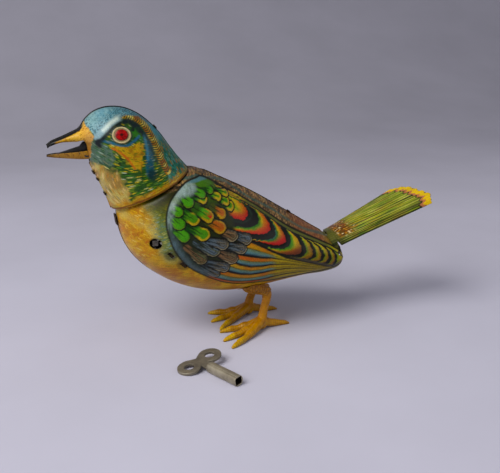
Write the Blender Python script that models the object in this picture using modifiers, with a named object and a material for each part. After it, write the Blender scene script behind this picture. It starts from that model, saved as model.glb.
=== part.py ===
"""Wind-up tin bird: a lithographed tinplate songbird with moulded plastic legs and a loose key.

Two pressed half shells make the body and two make the head, which turns on a tilted neck.
The lower beak and the tail swing on wire pins. A clockwork between two plates turns an eccentric;
a rocker lever carries its swing to the beak, the tail, the bellows and the whistle.

Frame: +X towards the tail, -Y the bird's left side, +Z up, the floor at Z = 0. Everything of
the bird is laid out from a point on the floor between its ankles, the empty named bird.
"""
import math

import bmesh
import bpy
import numpy as np
from mathutils import Matrix, Vector

for old in list(bpy.data.objects):
    bpy.data.objects.remove(old, do_unlink=True)

MM = 0.001

# Sheet metal and clearances
SHEET = 0.3 * MM
GAP = 0.3 * MM
SEAM = 0.3 * MM

# Where the ankles' midpoint stands, so that the world origin is under the middle of the whole
BIRD_X = 4.41 * MM
BIRD_Y = 17.97 * MM

# Neck: a round collar that leans forward, with the head's round rim outside it
NECK_X = -49.7 * MM
NECK_Z = 69.2 * MM
NECK_LEAN = math.radians(24.8)
NECK_RADIUS = 16.8 * MM
NECK_RISE = 4.5 * MM
NECK_TAPER = 1.0 * MM
HEAD_RIM_RADIUS = 18.8 * MM

# Body shells: greatest half width and the height of the pressed wings
BODY_HALF_WIDTH = 26.0 * MM
WING_RISE = 0.8 * MM
WING_EDGE = 3.0 * MM

# Beak
BEAK_PIN_X = -68.5 * MM
BEAK_PIN_Z = 86.3 * MM
BEAK_PIN_RADIUS = 0.6 * MM
BEAK_HALF_WIDTH = 2.6 * MM

# Tail
TAIL_PIN_X = 37.0 * MM
TAIL_PIN_Z = 34.5 * MM
TAIL_PIN_RADIUS = 0.6 * MM
TAIL_PITCH = math.radians(23.4)
TAIL_LENGTH = 45.5 * MM
TAIL_ROOT_HALF = 10.8 * MM
TAIL_TIP_HALF = 16.8 * MM
TAIL_TONGUE_HALF = 8.4 * MM
TAIL_LIFT = 4.2 * MM
TAIL_FOLD = 1.8 * MM
TAIL_SHEET = 0.5 * MM
TAIL_LEVER = 6.7 * MM

# Legs
HIP_X = -7.0 * MM
HIP_Y = 11.8 * MM
PEG_RADIUS = 1.25 * MM
WASHER_RADIUS = 2.4 * MM
WASHER_THICKNESS = 0.6 * MM

# Clockwork frame: two plates square to Y, joined by pillars
PLATE_Y = 8.0 * MM
PLATE = 0.6 * MM
PILLAR_RADIUS = 1.0 * MM

# Winding arbor behind the keyhole in the left breast
WIND_X = -51.0 * MM
WIND_Z = 48.8 * MM
WIND_RADIUS = 1.2 * MM
WIND_SQUARE = 2.4 * MM
WIND_END_Y = -19.2 * MM
KEYHOLE_RADIUS = 2.4 * MM

# Wheels: a module of 0.8 mm, six-leaved pinions and wheels of 18 teeth
MODULE = 0.8 * MM
WHEEL_TEETH = 18
PINION_LEAVES = 6
WHEEL = 1.0 * MM
ARBOR_RADIUS = 0.7 * MM
CENTRES = MODULE * (WHEEL_TEETH + PINION_LEAVES) / 2
TRAIN_ANGLES = [math.radians(-20), math.radians(15), math.radians(-25)]
ECCENTRIC_THROW = 0.55 * MM
ECCENTRIC_RADIUS = 1.4 * MM
FLY_RADIUS = 4.5 * MM

# Mainspring: an open spiral of flat steel
SPRING_TURNS = 4.0
SPRING_STRIP = 0.4 * MM
SPRING_WIDTH = 4.6 * MM
SPRING_POST_DISTANCE = 9.2 * MM

# Rocker lever
ROCKER_X = -30.0 * MM
ROCKER_Z = 58.5 * MM
ROCKER_RADIUS = 1.0 * MM
ROCKER_TAIL_ARM = 7.0 * MM
FOLLOWER_ARM = 10.3 * MM
ROCKER_PLATE = 0.6 * MM

# Bellows
BELLOWS_HINGE_X = 13.0 * MM
BELLOWS_LENGTH = 25.0 * MM
BELLOWS_FLOOR_Z = 23.8 * MM
BELLOWS_BOARD = 5.0 * MM
BELLOWS_OPENING = 5.2 * MM

# Whistle
WHISTLE_RADIUS = 2.6 * MM
WHISTLE_WALL = 0.4 * MM
WHISTLE_LENGTH = 20.0 * MM
WHISTLE_X = -27.0 * MM
WHISTLE_Z = 39.5 * MM

# Key, lying on the floor before the bird's left side
KEY_X = -34.9 * MM
KEY_Y = -46.3 * MM
KEY_HEADING = math.radians(-62.7)
KEY_ROLL = math.radians(9.2)
KEY_TUBE_RADIUS = 2.25 * MM
KEY_TUBE_LENGTH = 17.5 * MM
KEY_PLATE = 1.2 * MM
KEY_LOOP_RADIUS = 5.0 * MM
KEY_LOOP_HOLE = 2.4 * MM
KEY_LOOP_SPREAD = 5.65 * MM
KEY_LOOP_BACK = 6.4 * MM

# Outline of the body seen from the side: one row a section, from the neck to the rear end.
# Lower point x and z, upper point x and z in millimetres, then the half width as a share of
# BODY_HALF_WIDTH and how keenly the back is ridged (1 is round).
BODY_SECTIONS = [
    (-64.7, 57.6, -30.6, 77.3, 0.74, 1.15),
    (-63.6, 51.1, -25.2, 75.5, 0.85, 1.3),
    (-61.5, 44.8, -19.0, 72.5, 0.92, 1.35),
    (-57.5, 38.3, -12.4, 69.3, 0.975, 1.35),
    (-51.3, 32.1, -5.2, 65.7, 1.0, 1.35),
    (-42.8, 26.3, 2.6, 61.2, 0.99, 1.35),
    (-32.6, 22.0, 10.6, 56.2, 0.96, 1.35),
    (-20.5, 19.7, 17.8, 51.7, 0.89, 1.35),
    (-7.0, 19.8, 23.6, 48.0, 0.80, 1.35),
    (6.5, 21.4, 28.2, 45.1, 0.71, 1.3),
    (19.3, 22.8, 32.2, 42.7, 0.63, 1.2),
    (29.4, 23.2, 35.8, 40.4, 0.56, 1.1),
    (36.3, 24.2, 39.0, 37.8, 0.47, 1.0),
    (40.2, 25.9, 41.0, 34.6, 0.31, 1.0),
    (41.8, 27.8, 42.3, 31.4, 0.11, 1.0),
]

# Outline of the head in the same way, from above its rim to the tip of the upper beak, with
# the half width in millimetres, then how keen the crown and the throat are.
HEAD_SECTIONS = [
    (-68.7, 67.4, -37.2, 82.4, 17.8, 1.0, 1.05),
    (-70.9, 72.8, -40.8, 87.3, 17.2, 1.05, 1.1),
    (-73.3, 78.0, -44.4, 92.5, 16.7, 1.05, 1.15),
    (-75.4, 83.0, -48.5, 97.1, 15.9, 1.05, 1.3),
    (-76.4, 86.4, -53.5, 101.2, 14.5, 1.05, 1.5),
    (-77.0, 88.2, -59.5, 103.9, 12.6, 1.05, 1.6),
    (-77.5, 89.0, -66.0, 104.4, 10.2, 1.05, 1.5),
    (-78.0, 89.4, -71.4, 102.9, 8.0, 1.05, 1.3),
    (-78.6, 89.6, -75.3, 99.9, 6.1, 1.0, 1.1),
    (-79.7, 89.8, -78.1, 96.1, 4.7, 1.0, 1.0),
    (-82.2, 90.0, -81.3, 94.4, 3.8, 1.0, 1.0),
    (-86.0, 90.0, -85.7, 92.5, 2.7, 1.0, 1.0),
    (-89.6, 88.9, -89.5, 91.0, 1.7, 1.0, 1.0),
    (-91.4, 88.1, -91.7, 89.4, 0.9, 1.0, 1.0),
]

# The mouth: row of the head's outline, then the share of the way from crown to throat that
# the sheet reaches there
MOUTH_EDGE = [(3.5, 1.0), (3.9, 0.915), (5.0, 0.87), (6.0, 0.83), (8.0, 0.75), (14.0, 0.72)]

# The opening for the tail's root, as distance along the tail and height over its pin
TAIL_GATE = [
    (-1.4, 10.4), (-0.9, 7.4), (-1.2, 4.2), (-0.2, 2.6), (1.1, -0.4), (2.8, -0.4), (3.4, 1.3),
    (30.0, 1.3), (30.0, 30.0)]

# Outline of the pressed wing, x and z in millimetres seen from the side
WING_OUTLINE = [
    (-26.8, 73.9), (-31.1, 74.3), (-37.1, 72.9), (-43.4, 67.8), (-46.2, 61.8), (-46.3, 54.8),
    (-43.4, 45.9), (-37.1, 37.7), (-26.0, 31.0), (-17.0, 27.8), (-3.8, 26.8), (17.4, 26.4),
    (35.0, 28.4), (40.8, 32.0), (34.4, 37.4), (27.4, 41.2), (18.8, 45.4), (9.8, 50.4),
    (-3.3, 59.8), (-15.4, 67.4),
]

NECK_AXIS = Vector((-math.sin(NECK_LEAN), 0.0, math.cos(NECK_LEAN)))
NECK_CENTRE = Vector((NECK_X, 0.0, NECK_Z))
TAIL_ALONG = Vector((math.cos(TAIL_PITCH), 0.0, math.sin(TAIL_PITCH)))
TAIL_UP = Vector((-math.sin(TAIL_PITCH), 0.0, math.cos(TAIL_PITCH)))
TAIL_PIN = Vector((TAIL_PIN_X, 0.0, TAIL_PIN_Z))
BEAK_PIN = Vector((BEAK_PIN_X, 0.0, BEAK_PIN_Z))
WIND = Vector((WIND_X, 0.0, WIND_Z))
ROCKER = Vector((ROCKER_X, 0.0, ROCKER_Z))


# Collections, pivots, materials

def collection(name):
    made = bpy.data.collections.new(name)
    bpy.context.scene.collection.children.link(made)
    return made


PARTS = collection("tin_bird")
PLACES = {}


def pivot(name, place, parent=None):
    """An empty on a joint's axis; its place is given from the bird's own zero."""
    made = bpy.data.objects.new(name, None)
    made.empty_display_size = 4 * MM
    PARTS.objects.link(made)
    PLACES[name] = Vector(place)
    if parent is not None:
        made.parent = parent
        made.location = PLACES[name] - PLACES[parent.name]
    return made


FINISHES = {
    "lithographed_tin": ((0.42, 0.50, 0.22), 0.35, 0.3),
    "tail_tin": ((0.62, 0.66, 0.16), 0.35, 0.3),
    "beak_tin": ((0.80, 0.52, 0.12), 0.4, 0.2),
    "bare_tin": ((0.55, 0.55, 0.53), 0.4, 1.0),
    "leg_plastic": ((0.85, 0.52, 0.02), 0.4, 0.0),
    "steel": ((0.36, 0.35, 0.33), 0.45, 1.0),
    "brass": ((0.70, 0.52, 0.22), 0.35, 1.0),
    "spring_steel": ((0.20, 0.22, 0.28), 0.3, 1.0),
    "cast_zinc": ((0.33, 0.34, 0.35), 0.6, 1.0),
    "leather": ((0.45, 0.30, 0.18), 0.85, 0.0),
}


def finish(name):
    made = bpy.data.materials.get(name)
    if made is None:
        colour, roughness, metallic = FINISHES[name]
        made = bpy.data.materials.new(name)
        made.use_nodes = True
        shader = made.node_tree.nodes["Principled BSDF"]
        shader.inputs["Base Color"].default_value = (*colour, 1.0)
        shader.inputs["Roughness"].default_value = roughness
        shader.inputs["Metallic"].default_value = metallic
    return made


def fit(made, carrier, finish_name):
    """Hand a finished piece to the pivot that carries it."""
    made.data.materials.clear()
    made.data.materials.append(finish(finish_name))
    made.data.shade_smooth()
    made.data.set_sharp_from_angle(angle=math.radians(35))
    made.parent = carrier
    made.location = -PLACES[carrier.name]
    return made


# Modelling helpers

def linked(name, mesh):
    made = bpy.data.objects.new(name, mesh)
    PARTS.objects.link(made)
    return made


def cleaned(made):
    """Weld coincident points and turn every face outwards."""
    shape = bmesh.new()
    shape.from_mesh(made.data)
    bmesh.ops.remove_doubles(shape, verts=shape.verts, dist=0.001 * MM)
    bmesh.ops.recalc_face_normals(shape, faces=shape.faces)
    shape.to_mesh(made.data)
    shape.free()
    return made


def welded(made):
    """Close the hairline steps that a Boolean leaves where edges nearly meet."""
    shape = bmesh.new()
    shape.from_mesh(made.data)
    bmesh.ops.remove_doubles(shape, verts=shape.verts, dist=0.004 * MM)
    bmesh.ops.dissolve_degenerate(shape, edges=shape.edges, dist=0.002 * MM)
    shape.to_mesh(made.data)
    shape.free()
    return made


def settled(made):
    """Take an object's modifiers into its mesh."""
    graph = bpy.context.evaluated_depsgraph_get()
    mesh = bpy.data.meshes.new_from_object(made.evaluated_get(graph), depsgraph=graph)
    made.modifiers.clear()
    made.data = mesh
    return made


def boolean(target, tool, operation):
    change = target.modifiers.new(operation.lower(), "BOOLEAN")
    change.solver = "EXACT"
    change.operation = operation
    change.object = tool
    settled(target)
    bpy.data.objects.remove(tool)
    return welded(target)


def joined(target, *tools):
    for tool in tools:
        boolean(target, tool, "UNION")
    return target


def cut(target, *tools):
    for tool in tools:
        boolean(target, tool, "DIFFERENCE")
    return target


def meshed(drawn):
    """A curve object made a mesh, with its caps welded and its place taken into its points."""
    graph = bpy.context.evaluated_depsgraph_get()
    mesh = bpy.data.meshes.new_from_object(drawn.evaluated_get(graph), depsgraph=graph)
    mesh.transform(drawn.matrix_world)
    name = drawn.name
    bpy.data.objects.remove(drawn)
    return cleaned(linked(name, mesh))


def slab(name, loops, y_low, y_high):
    """A plate square to Y from outlines in x and z: the first outside, the others holes."""
    curve = bpy.data.curves.new(name, "CURVE")
    curve.dimensions = "2D"
    curve.fill_mode = "BOTH"
    curve.extrude = (y_high - y_low) / MM / 2
    for loop in loops:
        spline = curve.splines.new("POLY")
        spline.points.add(len(loop) - 1)
        for point, (x, z) in zip(spline.points, loop):
            point.co = (x / MM, z / MM, 0.0, 1.0)
        spline.use_cyclic_u = True
    drawn = linked(name, curve)
    middle = Matrix.Translation((0.0, (y_low + y_high) / 2, 0.0))
    drawn.matrix_world = middle @ Matrix.Rotation(math.pi / 2, 4, "X") @ Matrix.Scale(MM, 4)
    bpy.context.view_layer.update()
    return meshed(drawn)


def tube(name, points, radii, sides=8):
    """A round bar along points, in metres, with a radius at each."""
    curve = bpy.data.curves.new(name, "CURVE")
    curve.dimensions = "3D"
    curve.bevel_depth = 1.0
    curve.bevel_resolution = sides // 2 - 2
    curve.use_fill_caps = True
    spline = curve.splines.new("POLY")
    spline.points.add(len(points) - 1)
    for point, place, radius in zip(spline.points, points, radii):
        point.co = (place[0] / MM, place[1] / MM, place[2] / MM, 1.0)
        point.radius = radius / MM
    drawn = linked(name, curve)
    drawn.matrix_world = Matrix.Scale(MM, 4)
    bpy.context.view_layer.update()
    return meshed(drawn)


def rod(name, start, end, radius, sides=16):
    """A straight round bar."""
    start, end = Vector(start), Vector(end)
    along = end - start
    turn = along.to_track_quat("Z", "Y").to_matrix().to_4x4()
    shape = bmesh.new()
    bmesh.ops.create_cone(
        shape, cap_ends=True, segments=sides, radius1=radius, radius2=radius,
        depth=along.length, matrix=Matrix.Translation((start + end) / 2) @ turn)
    mesh = bpy.data.meshes.new(name)
    shape.to_mesh(mesh)
    shape.free()
    return linked(name, mesh)


def block(name, size, matrix):
    """A box of the given size about the matrix's origin."""
    shape = bmesh.new()
    bmesh.ops.create_cube(shape, size=1.0, matrix=matrix @ Matrix.Diagonal((*size, 1.0)))
    mesh = bpy.data.meshes.new(name)
    shape.to_mesh(mesh)
    shape.free()
    return linked(name, mesh)


def turned(name, profile, base, axis, steps=24):
    """A closed profile of radius and height swept round an axis through base."""
    mesh = bpy.data.meshes.new(name)
    count = len(profile)
    edges = [(k, (k + 1) % count) for k in range(count)]
    mesh.from_pydata([(radius, 0.0, height) for radius, height in profile], edges, [])
    made = linked(name, mesh)
    sweep = made.modifiers.new("sweep", "SCREW")
    sweep.axis = "Z"
    sweep.steps = steps
    sweep.render_steps = steps
    sweep.use_merge_vertices = True
    sweep.merge_threshold = 0.001 * MM
    settled(made)
    turn = Vector(axis).to_track_quat("Z", "Y").to_matrix().to_4x4()
    made.data.transform(Matrix.Translation(base) @ turn)
    return cleaned(made)


def polar(centre, radius, angle):
    return (centre[0] + radius * math.cos(angle), centre[1] + radius * math.sin(angle))


def circle(centre, radius, steps=16):
    return [polar(centre, radius, 2 * math.pi * k / steps) for k in range(steps)]


def bar_outline(start, end, start_radius, end_radius, steps=6):
    """A round-ended bar: half a circle at each end, joined by straight sides."""
    heading = math.atan2(end[1] - start[1], end[0] - start[0])
    turns = [math.pi * (k / steps - 0.5) for k in range(steps + 1)]
    near = [polar(start, start_radius, heading + math.pi + turn) for turn in turns]
    return near + [polar(end, end_radius, heading + turn) for turn in turns]


def star_outline(centre, ends, root, tip, steps=6):
    """Round-ended arms from one centre, meeting in valleys that keep each arm's width."""
    def heading(end):
        return math.atan2(end[1] - centre[1], end[0] - centre[0]) % (2 * math.pi)

    ends = sorted(ends, key=heading)
    points = []
    for end, after in zip(ends, ends[1:] + ends[:1]):
        here = heading(end)
        between = (heading(after) - here) % (2 * math.pi) / 2
        turns = [math.pi * (k / steps - 0.5) for k in range(steps + 1)]
        points += [polar(end, tip, here + turn) for turn in turns]
        points.append(polar(centre, root / math.sin(between), here + between))
    return points


def flat(place):
    """The x and z of a place, for an outline."""
    return (place[0], place[2])


# The sheet metal surfaces: sections blended along the bird

def blended(rows, at):
    """Catmull-Rom blend of the rows at fractional row numbers."""
    last = len(rows) - 1
    at = np.clip(at, 0, last - 1e-9)
    row = at.astype(int)
    share = (at - row)[..., None]
    before, here, after, beyond = (
        rows[np.clip(row + k, 0, last)] for k in (-1, 0, 1, 2))
    return 0.5 * (
        2 * here + (after - before) * share
        + (2 * before - 5 * here + 4 * after - beyond) * share**2
        + (3 * here - before - 3 * after + beyond) * share**3)


def surface(rows, at, angle, extra=0.0):
    """Points of the left half: angle 0 is the back or crown, pi the belly or throat."""
    row = blended(rows, at)
    low, high = row[..., 0:2], row[..., 2:4]
    middle, half = (low + high) / 2, (high - low) / 2
    reach = 1 + extra / np.linalg.norm(half, axis=-1)
    keen = np.where(angle < math.pi / 2, row[..., 5], row[..., 6])
    wide = (row[..., 4] + extra) * np.abs(np.sin(angle)) ** keen
    x = middle[..., 0] + half[..., 0] * reach * np.cos(angle)
    z = middle[..., 1] + half[..., 1] * reach * np.cos(angle)
    return np.stack([x, -wide, z], axis=-1)


def collar_row(radius, rise):
    """A round section square to the neck's axis."""
    centre = NECK_CENTRE + NECK_AXIS * rise
    across = Vector((math.cos(NECK_LEAN), 0.0, math.sin(NECK_LEAN))) * radius
    low, high = centre - across, centre + across
    return (low.x, low.z, high.x, high.z, radius, 1.0, 1.0)


def body_rows():
    listed = [
        (lx * MM, lz * MM, hx * MM, hz * MM, share * BODY_HALF_WIDTH, keen, 1.0)
        for lx, lz, hx, hz, share, keen in BODY_SECTIONS]
    neck = [collar_row(NECK_RADIUS - NECK_TAPER, NECK_RISE), collar_row(NECK_RADIUS, 0.0)]
    return np.array(neck + listed)


def head_rows():
    listed = [
        (lx * MM, lz * MM, hx * MM, hz * MM, half * MM, crown, throat)
        for lx, lz, hx, hz, half, crown, throat in HEAD_SECTIONS]
    return np.array([collar_row(HEAD_RIM_RADIUS, 0.0)] + listed)


BODY = body_rows()
HEAD = head_rows()


def inside_depth(points, outline):
    """How far each point lies inside a closed outline, negative outside."""
    start = np.array(outline)
    end = np.roll(start, -1, axis=0)
    side = end - start
    from_start = points[:, None, :] - start
    share = np.clip((from_start * side).sum(-1) / (side**2).sum(-1), 0, 1)
    distance = np.linalg.norm(from_start - share[..., None] * side, axis=-1).min(axis=1)
    above = (start[:, 1] > points[:, None, 1]) != (end[:, 1] > points[:, None, 1])
    rise = np.where(side[:, 1] == 0, 1.0, side[:, 1])
    crossing = start[:, 0] + (points[:, None, 1] - start[:, 1]) / rise * side[:, 0]
    inside = (above & (points[:, None, 0] < crossing)).sum(axis=1) % 2 == 1
    return np.where(inside, distance, -distance)


def wing_rise(points):
    """Height of the pressed wing at points of the flank, rising softly from its edge."""
    outline = np.array(WING_OUTLINE) * MM
    depth = inside_depth(points[:, [0, 2]], outline)
    share = np.clip(depth / WING_EDGE, 0, 1)
    return WING_RISE * share * share * (3 - 2 * share)


def half_shell(name, rows, side, stations, around, pressed=None, edge=None):
    """One pressed half: an open surface given its sheet's thickness inwards."""
    at, share = np.meshgrid(stations, np.linspace(0, 1, around), indexing="ij")
    angle = share * (math.pi if edge is None else edge(at))
    points = surface(rows, at, angle).reshape(-1, 3)
    points[:, 1] = side * (SEAM / 2 - points[:, 1])
    number = np.arange(points.shape[0]).reshape(at.shape)
    faces = np.stack(
        [number[:-1, :-1], number[1:, :-1], number[1:, 1:], number[:-1, 1:]], axis=-1)
    faces = faces.reshape(-1, 4)
    middle = faces[len(faces) // 2]
    across = np.cross(points[middle[2]] - points[middle[0]], points[middle[3]] - points[middle[1]])
    if across[1] * side < 0:
        faces = faces[:, ::-1]
    mesh = bpy.data.meshes.new(name)
    mesh.from_pydata(points.tolist(), [], faces.tolist())
    if pressed is not None:
        normals = np.array([vertex.normal[:] for vertex in mesh.vertices])
        lifted = points + normals * pressed(points)[:, None]
        mesh.vertices.foreach_set("co", lifted.ravel())
        mesh.update()
    made = linked(name, mesh)
    wall = made.modifiers.new("wall", "SOLIDIFY")
    wall.thickness = SHEET
    wall.offset = -1.0
    return settled(made)


def body_envelope(name, clearance):
    """The closed outside of the body, a clearance larger, for what bears on it."""
    around = 24
    rows_on = 30
    at, angle = np.meshgrid(
        np.linspace(0, len(BODY) - 1, rows_on), np.linspace(0, math.pi, around + 1),
        indexing="ij")
    left = surface(BODY, at, angle, clearance)
    raised = wing_rise(left.reshape(-1, 3)).reshape(left.shape[:2])
    left[..., 1] -= SEAM / 2 + raised * np.sin(angle)
    right = left[:, -2:0:-1] * np.array([1, -1, 1])
    ring = np.concatenate([left, right], axis=1)
    count = ring.shape[1]
    number = np.arange(rows_on * count).reshape(rows_on, count)
    turned_on = np.roll(number, -1, axis=1)
    faces = np.stack([number[:-1], number[1:], turned_on[1:], turned_on[:-1]], axis=-1)
    ends = [number[0].tolist(), number[-1].tolist()]
    mesh = bpy.data.meshes.new(name)
    mesh.from_pydata(ring.reshape(-1, 3).tolist(), [], faces.reshape(-1, 4).tolist() + ends)
    return cleaned(linked(name, mesh))


def belly_height(x, y):
    """Height of the underside of the body over a spot on the floor."""
    at, angle = np.meshgrid(
        np.linspace(0, len(BODY) - 1, 200), np.linspace(math.pi / 2, math.pi, 90), indexing="ij")
    points = surface(BODY, at, angle).reshape(-1, 3)
    away = (points[:, 0] - x) ** 2 + (-points[:, 1] - abs(y)) ** 2
    return float(points[np.argmin(away), 2])


def flank_reach(x, z):
    """Half width of the body at a spot seen from the side."""
    at, angle = np.meshgrid(
        np.linspace(0, len(BODY) - 1, 200), np.linspace(0, math.pi, 120), indexing="ij")
    points = surface(BODY, at, angle).reshape(-1, 3)
    away = (points[:, 0] - x) ** 2 + (points[:, 2] - z) ** 2
    return float(-points[np.argmin(away), 1])


def head_reach(x, z):
    """Half width of the head at a spot seen from the side."""
    at, angle = np.meshgrid(
        np.linspace(0, 8, 160), np.linspace(0, math.pi, 120), indexing="ij")
    points = surface(HEAD, at, angle).reshape(-1, 3)
    away = (points[:, 0] - x) ** 2 + (points[:, 2] - z) ** 2
    return float(-points[np.argmin(away), 1])


def on_neck(rise, aside=0.0):
    return NECK_CENTRE + NECK_AXIS * rise + Vector((0.0, aside, 0.0))


def on_tail(along, up, y=0.0):
    return TAIL_PIN + TAIL_ALONG * along + TAIL_UP * up + Vector((0.0, y, 0.0))


def spread(places, y):
    return Vector((places[0], y, places[1]))


# Where the wheels' arbors and the pillars stand, seen from the side

def train_arbors():
    places = [flat(WIND)]
    for angle in TRAIN_ANGLES:
        places.append(polar(places[-1], CENTRES, angle))
    return places


ARBORS = train_arbors()
SPRING_POST = polar(ARBORS[0], SPRING_POST_DISTANCE, math.radians(-90))
PILLARS = [SPRING_POST, (-57.6 * MM, 55.9 * MM), (-38.0 * MM, 63.0 * MM), (-20.5 * MM, 37.5 * MM)]
ROCKER_BEAK_RISE = -11.0 * MM
ROCKER_BEAK = on_neck(ROCKER_BEAK_RISE)
FOLLOWER_HEADING = math.radians(-92.2)
ROCKER_TAIL = polar(flat(ROCKER), ROCKER_TAIL_ARM, FOLLOWER_HEADING)
ROCKER_FOLLOWER = polar(flat(ROCKER), FOLLOWER_ARM, FOLLOWER_HEADING)
ROCKER_BELLOWS = (BELLOWS_HINGE_X - BELLOWS_LENGTH - 0.4 * MM, 47.0 * MM)
ROCKER_WHISTLE = (ROCKER_X, WHISTLE_Z + 0.6 * MM)
TAIL_LEVER_END = (
    TAIL_PIN_X - TAIL_LEVER * math.sin(math.radians(15)),
    TAIL_PIN_Z - TAIL_LEVER * math.cos(math.radians(15)))
LEVER_Y = -5.9 * MM
BREAST_SLOTS = [(-44.9 * MM, 43.7 * MM), (-39.7 * MM, 38.9 * MM)]
SLOT_LENGTH = 3.2 * MM
SLOT_WIDTH = 1.4 * MM
HINGE_Z = BELLOWS_FLOOR_Z + BELLOWS_BOARD + 2 * GAP + 1.0 * MM
BELLOWS_TILT = math.atan2(BELLOWS_OPENING, BELLOWS_LENGTH)

bird = pivot("bird", (0.0, 0.0, 0.0))
bird.location = (BIRD_X, BIRD_Y, 0.0)
head_pivot = pivot("head_pivot", NECK_CENTRE, bird)
beak_pivot = pivot("beak_pivot", BEAK_PIN, head_pivot)
wire_pivot = pivot("beak_wire_pivot", on_neck(0.0), bird)
tail_pivot = pivot("tail_pivot", TAIL_PIN, bird)
rod_pivot = pivot("tail_rod_pivot", spread(ROCKER_TAIL, 0.0), bird)
wind_pivot = pivot("winding_pivot", WIND, bird)
great_pivot = pivot("great_wheel_pivot", WIND, bird)
second_pivot = pivot("second_wheel_pivot", spread(ARBORS[1], 0.0), bird)
eccentric_pivot = pivot("eccentric_wheel_pivot", spread(ARBORS[2], 0.0), bird)
fly_pivot = pivot("fly_pivot", spread(ARBORS[3], 0.0), bird)
rocker_pivot = pivot("rocker_pivot", ROCKER, bird)
link_pivot = pivot("bellows_link_pivot", spread(ROCKER_BELLOWS, 0.0), bird)
board_pivot = pivot("bellows_board_pivot", (BELLOWS_HINGE_X, 0.0, HINGE_Z), bird)
piston_pivot = pivot("piston_pivot", (WHISTLE_X, 0.0, WHISTLE_Z), bird)


# Body and head shells

def tail_gate():
    """The opening at the rear that the tail's root works in."""
    outline = [flat(on_tail(along * MM, up * MM)) for along, up in TAIL_GATE]
    return slab("gate", [outline], -2 * BODY_HALF_WIDTH, 2 * BODY_HALF_WIDTH)


def slot_turn():
    """The slots lie on the line from the keyhole down the breast."""
    low, high = BREAST_SLOTS[1], BREAST_SLOTS[0]
    return Matrix.Rotation(-math.atan2(high[1] - low[1], high[0] - low[0]), 4, "Y")


def body_shell(name, side):
    shell = half_shell(name, BODY, side, np.linspace(0, len(BODY) - 1, 27), 13, wing_rise)
    outside = side * 2 * BODY_HALF_WIDTH
    cut(shell, tail_gate())
    pin_hole = TAIL_PIN_RADIUS + GAP
    cut(shell, rod("hole", TAIL_PIN, TAIL_PIN + Vector((0.0, outside, 0.0)), pin_hole, 12))
    hip = Vector((HIP_X, side * HIP_Y, 0.0))
    cut(shell, rod("hole", hip, hip + Vector((0.0, 0.0, NECK_Z / 2)), PEG_RADIUS + GAP))
    if side < 0:
        cut(shell, rod("keyhole", WIND, WIND + Vector((0.0, outside, 0.0)), KEYHOLE_RADIUS, 20))
        for place in BREAST_SLOTS:
            reach = Matrix.Translation((place[0], outside / 2, place[1])) @ slot_turn()
            cut(shell, block("slot", (SLOT_LENGTH, BODY_HALF_WIDTH * 2, SLOT_WIDTH), reach))
    return shell


def mouth_edge(at):
    """Where each section of the head stops: at the throat's seam, then at the mouth's edge."""
    rows, shares = zip(*MOUTH_EDGE)
    return math.pi * np.interp(at, rows, shares)


def head_shell(name, side):
    stations = np.concatenate([np.linspace(0, 3.5, 7), np.linspace(3.9, len(HEAD) - 1, 16)])
    return half_shell(name, HEAD, side, stations, 11, edge=mouth_edge)


for side, hand in ((-1, "left"), (1, "right")):
    fit(body_shell("body_" + hand + "_shell", side), bird, "lithographed_tin")
    fit(head_shell("head_" + hand + "_shell", side), head_pivot, "lithographed_tin")


# Neck: a disc in the collar, a hollow spindle, and a bracket across the head

NECK_DISC = 0.5 * MM
DISC_RISE = 1.2 * MM
BRACKET_RISE = 9.0 * MM
BRACKET_WIDTH = 8.0 * MM
SPINDLE_RADIUS = 2.0 * MM
SPINDLE_BORE = 0.95 * MM
WIRE_RADIUS = 0.5 * MM


def ring(inner, outer, low, high):
    """Profile of a flat ring, down its outer side and up its bore."""
    return [(outer, high), (outer, low), (inner, low), (inner, high)]


def neck_disc():
    collar = NECK_RADIUS - NECK_TAPER * (DISC_RISE + NECK_DISC) / NECK_RISE - 1.5 * SHEET - GAP
    profile = ring(SPINDLE_RADIUS + GAP, collar, DISC_RISE, DISC_RISE + NECK_DISC)
    return turned("neck_disc", profile, NECK_CENTRE, NECK_AXIS, 28)


def neck_spindle():
    """A tube with a flange that hangs it from under the disc."""
    under = DISC_RISE - GAP
    over = BRACKET_RISE + NECK_DISC + 2.6 * MM
    profile = [
        (SPINDLE_RADIUS, over), (SPINDLE_RADIUS, under), (2 * SPINDLE_RADIUS, under),
        (2 * SPINDLE_RADIUS, under - NECK_DISC), (SPINDLE_RADIUS, under - NECK_DISC),
        (SPINDLE_RADIUS, -6.0 * MM), (SPINDLE_BORE, -6.0 * MM), (SPINDLE_BORE, over)]
    return turned("neck_spindle", profile, NECK_CENTRE, NECK_AXIS, 16)


def head_bracket():
    """A strip across the head that turns on the spindle."""
    centre = on_neck(BRACKET_RISE + NECK_DISC / 2)
    inner = head_reach(centre.x, centre.z) - SHEET - GAP
    half = math.sqrt(inner**2 - (BRACKET_WIDTH / 2) ** 2)
    place = Matrix.Translation(centre) @ Matrix.Rotation(-NECK_LEAN, 4, "Y")
    strip = block("head_bracket", (BRACKET_WIDTH, 2 * half, NECK_DISC), place)
    bore = rod("bore", on_neck(0.0), on_neck(2 * BRACKET_RISE), SPINDLE_RADIUS + GAP)
    return cut(strip, bore)


def spindle_collar():
    low = BRACKET_RISE + NECK_DISC + GAP
    profile = ring(SPINDLE_RADIUS + GAP, 2.2 * SPINDLE_RADIUS, low, low + 1.5 * NECK_DISC)
    return turned("spindle_collar", profile, NECK_CENTRE, NECK_AXIS, 16)


fit(neck_disc(), bird, "bare_tin")
fit(neck_spindle(), bird, "brass")
fit(head_bracket(), head_pivot, "bare_tin")
fit(spindle_collar(), bird, "brass")


# Lower beak: a folded channel with a barrel on its pin and a lever for the push wire

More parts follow.
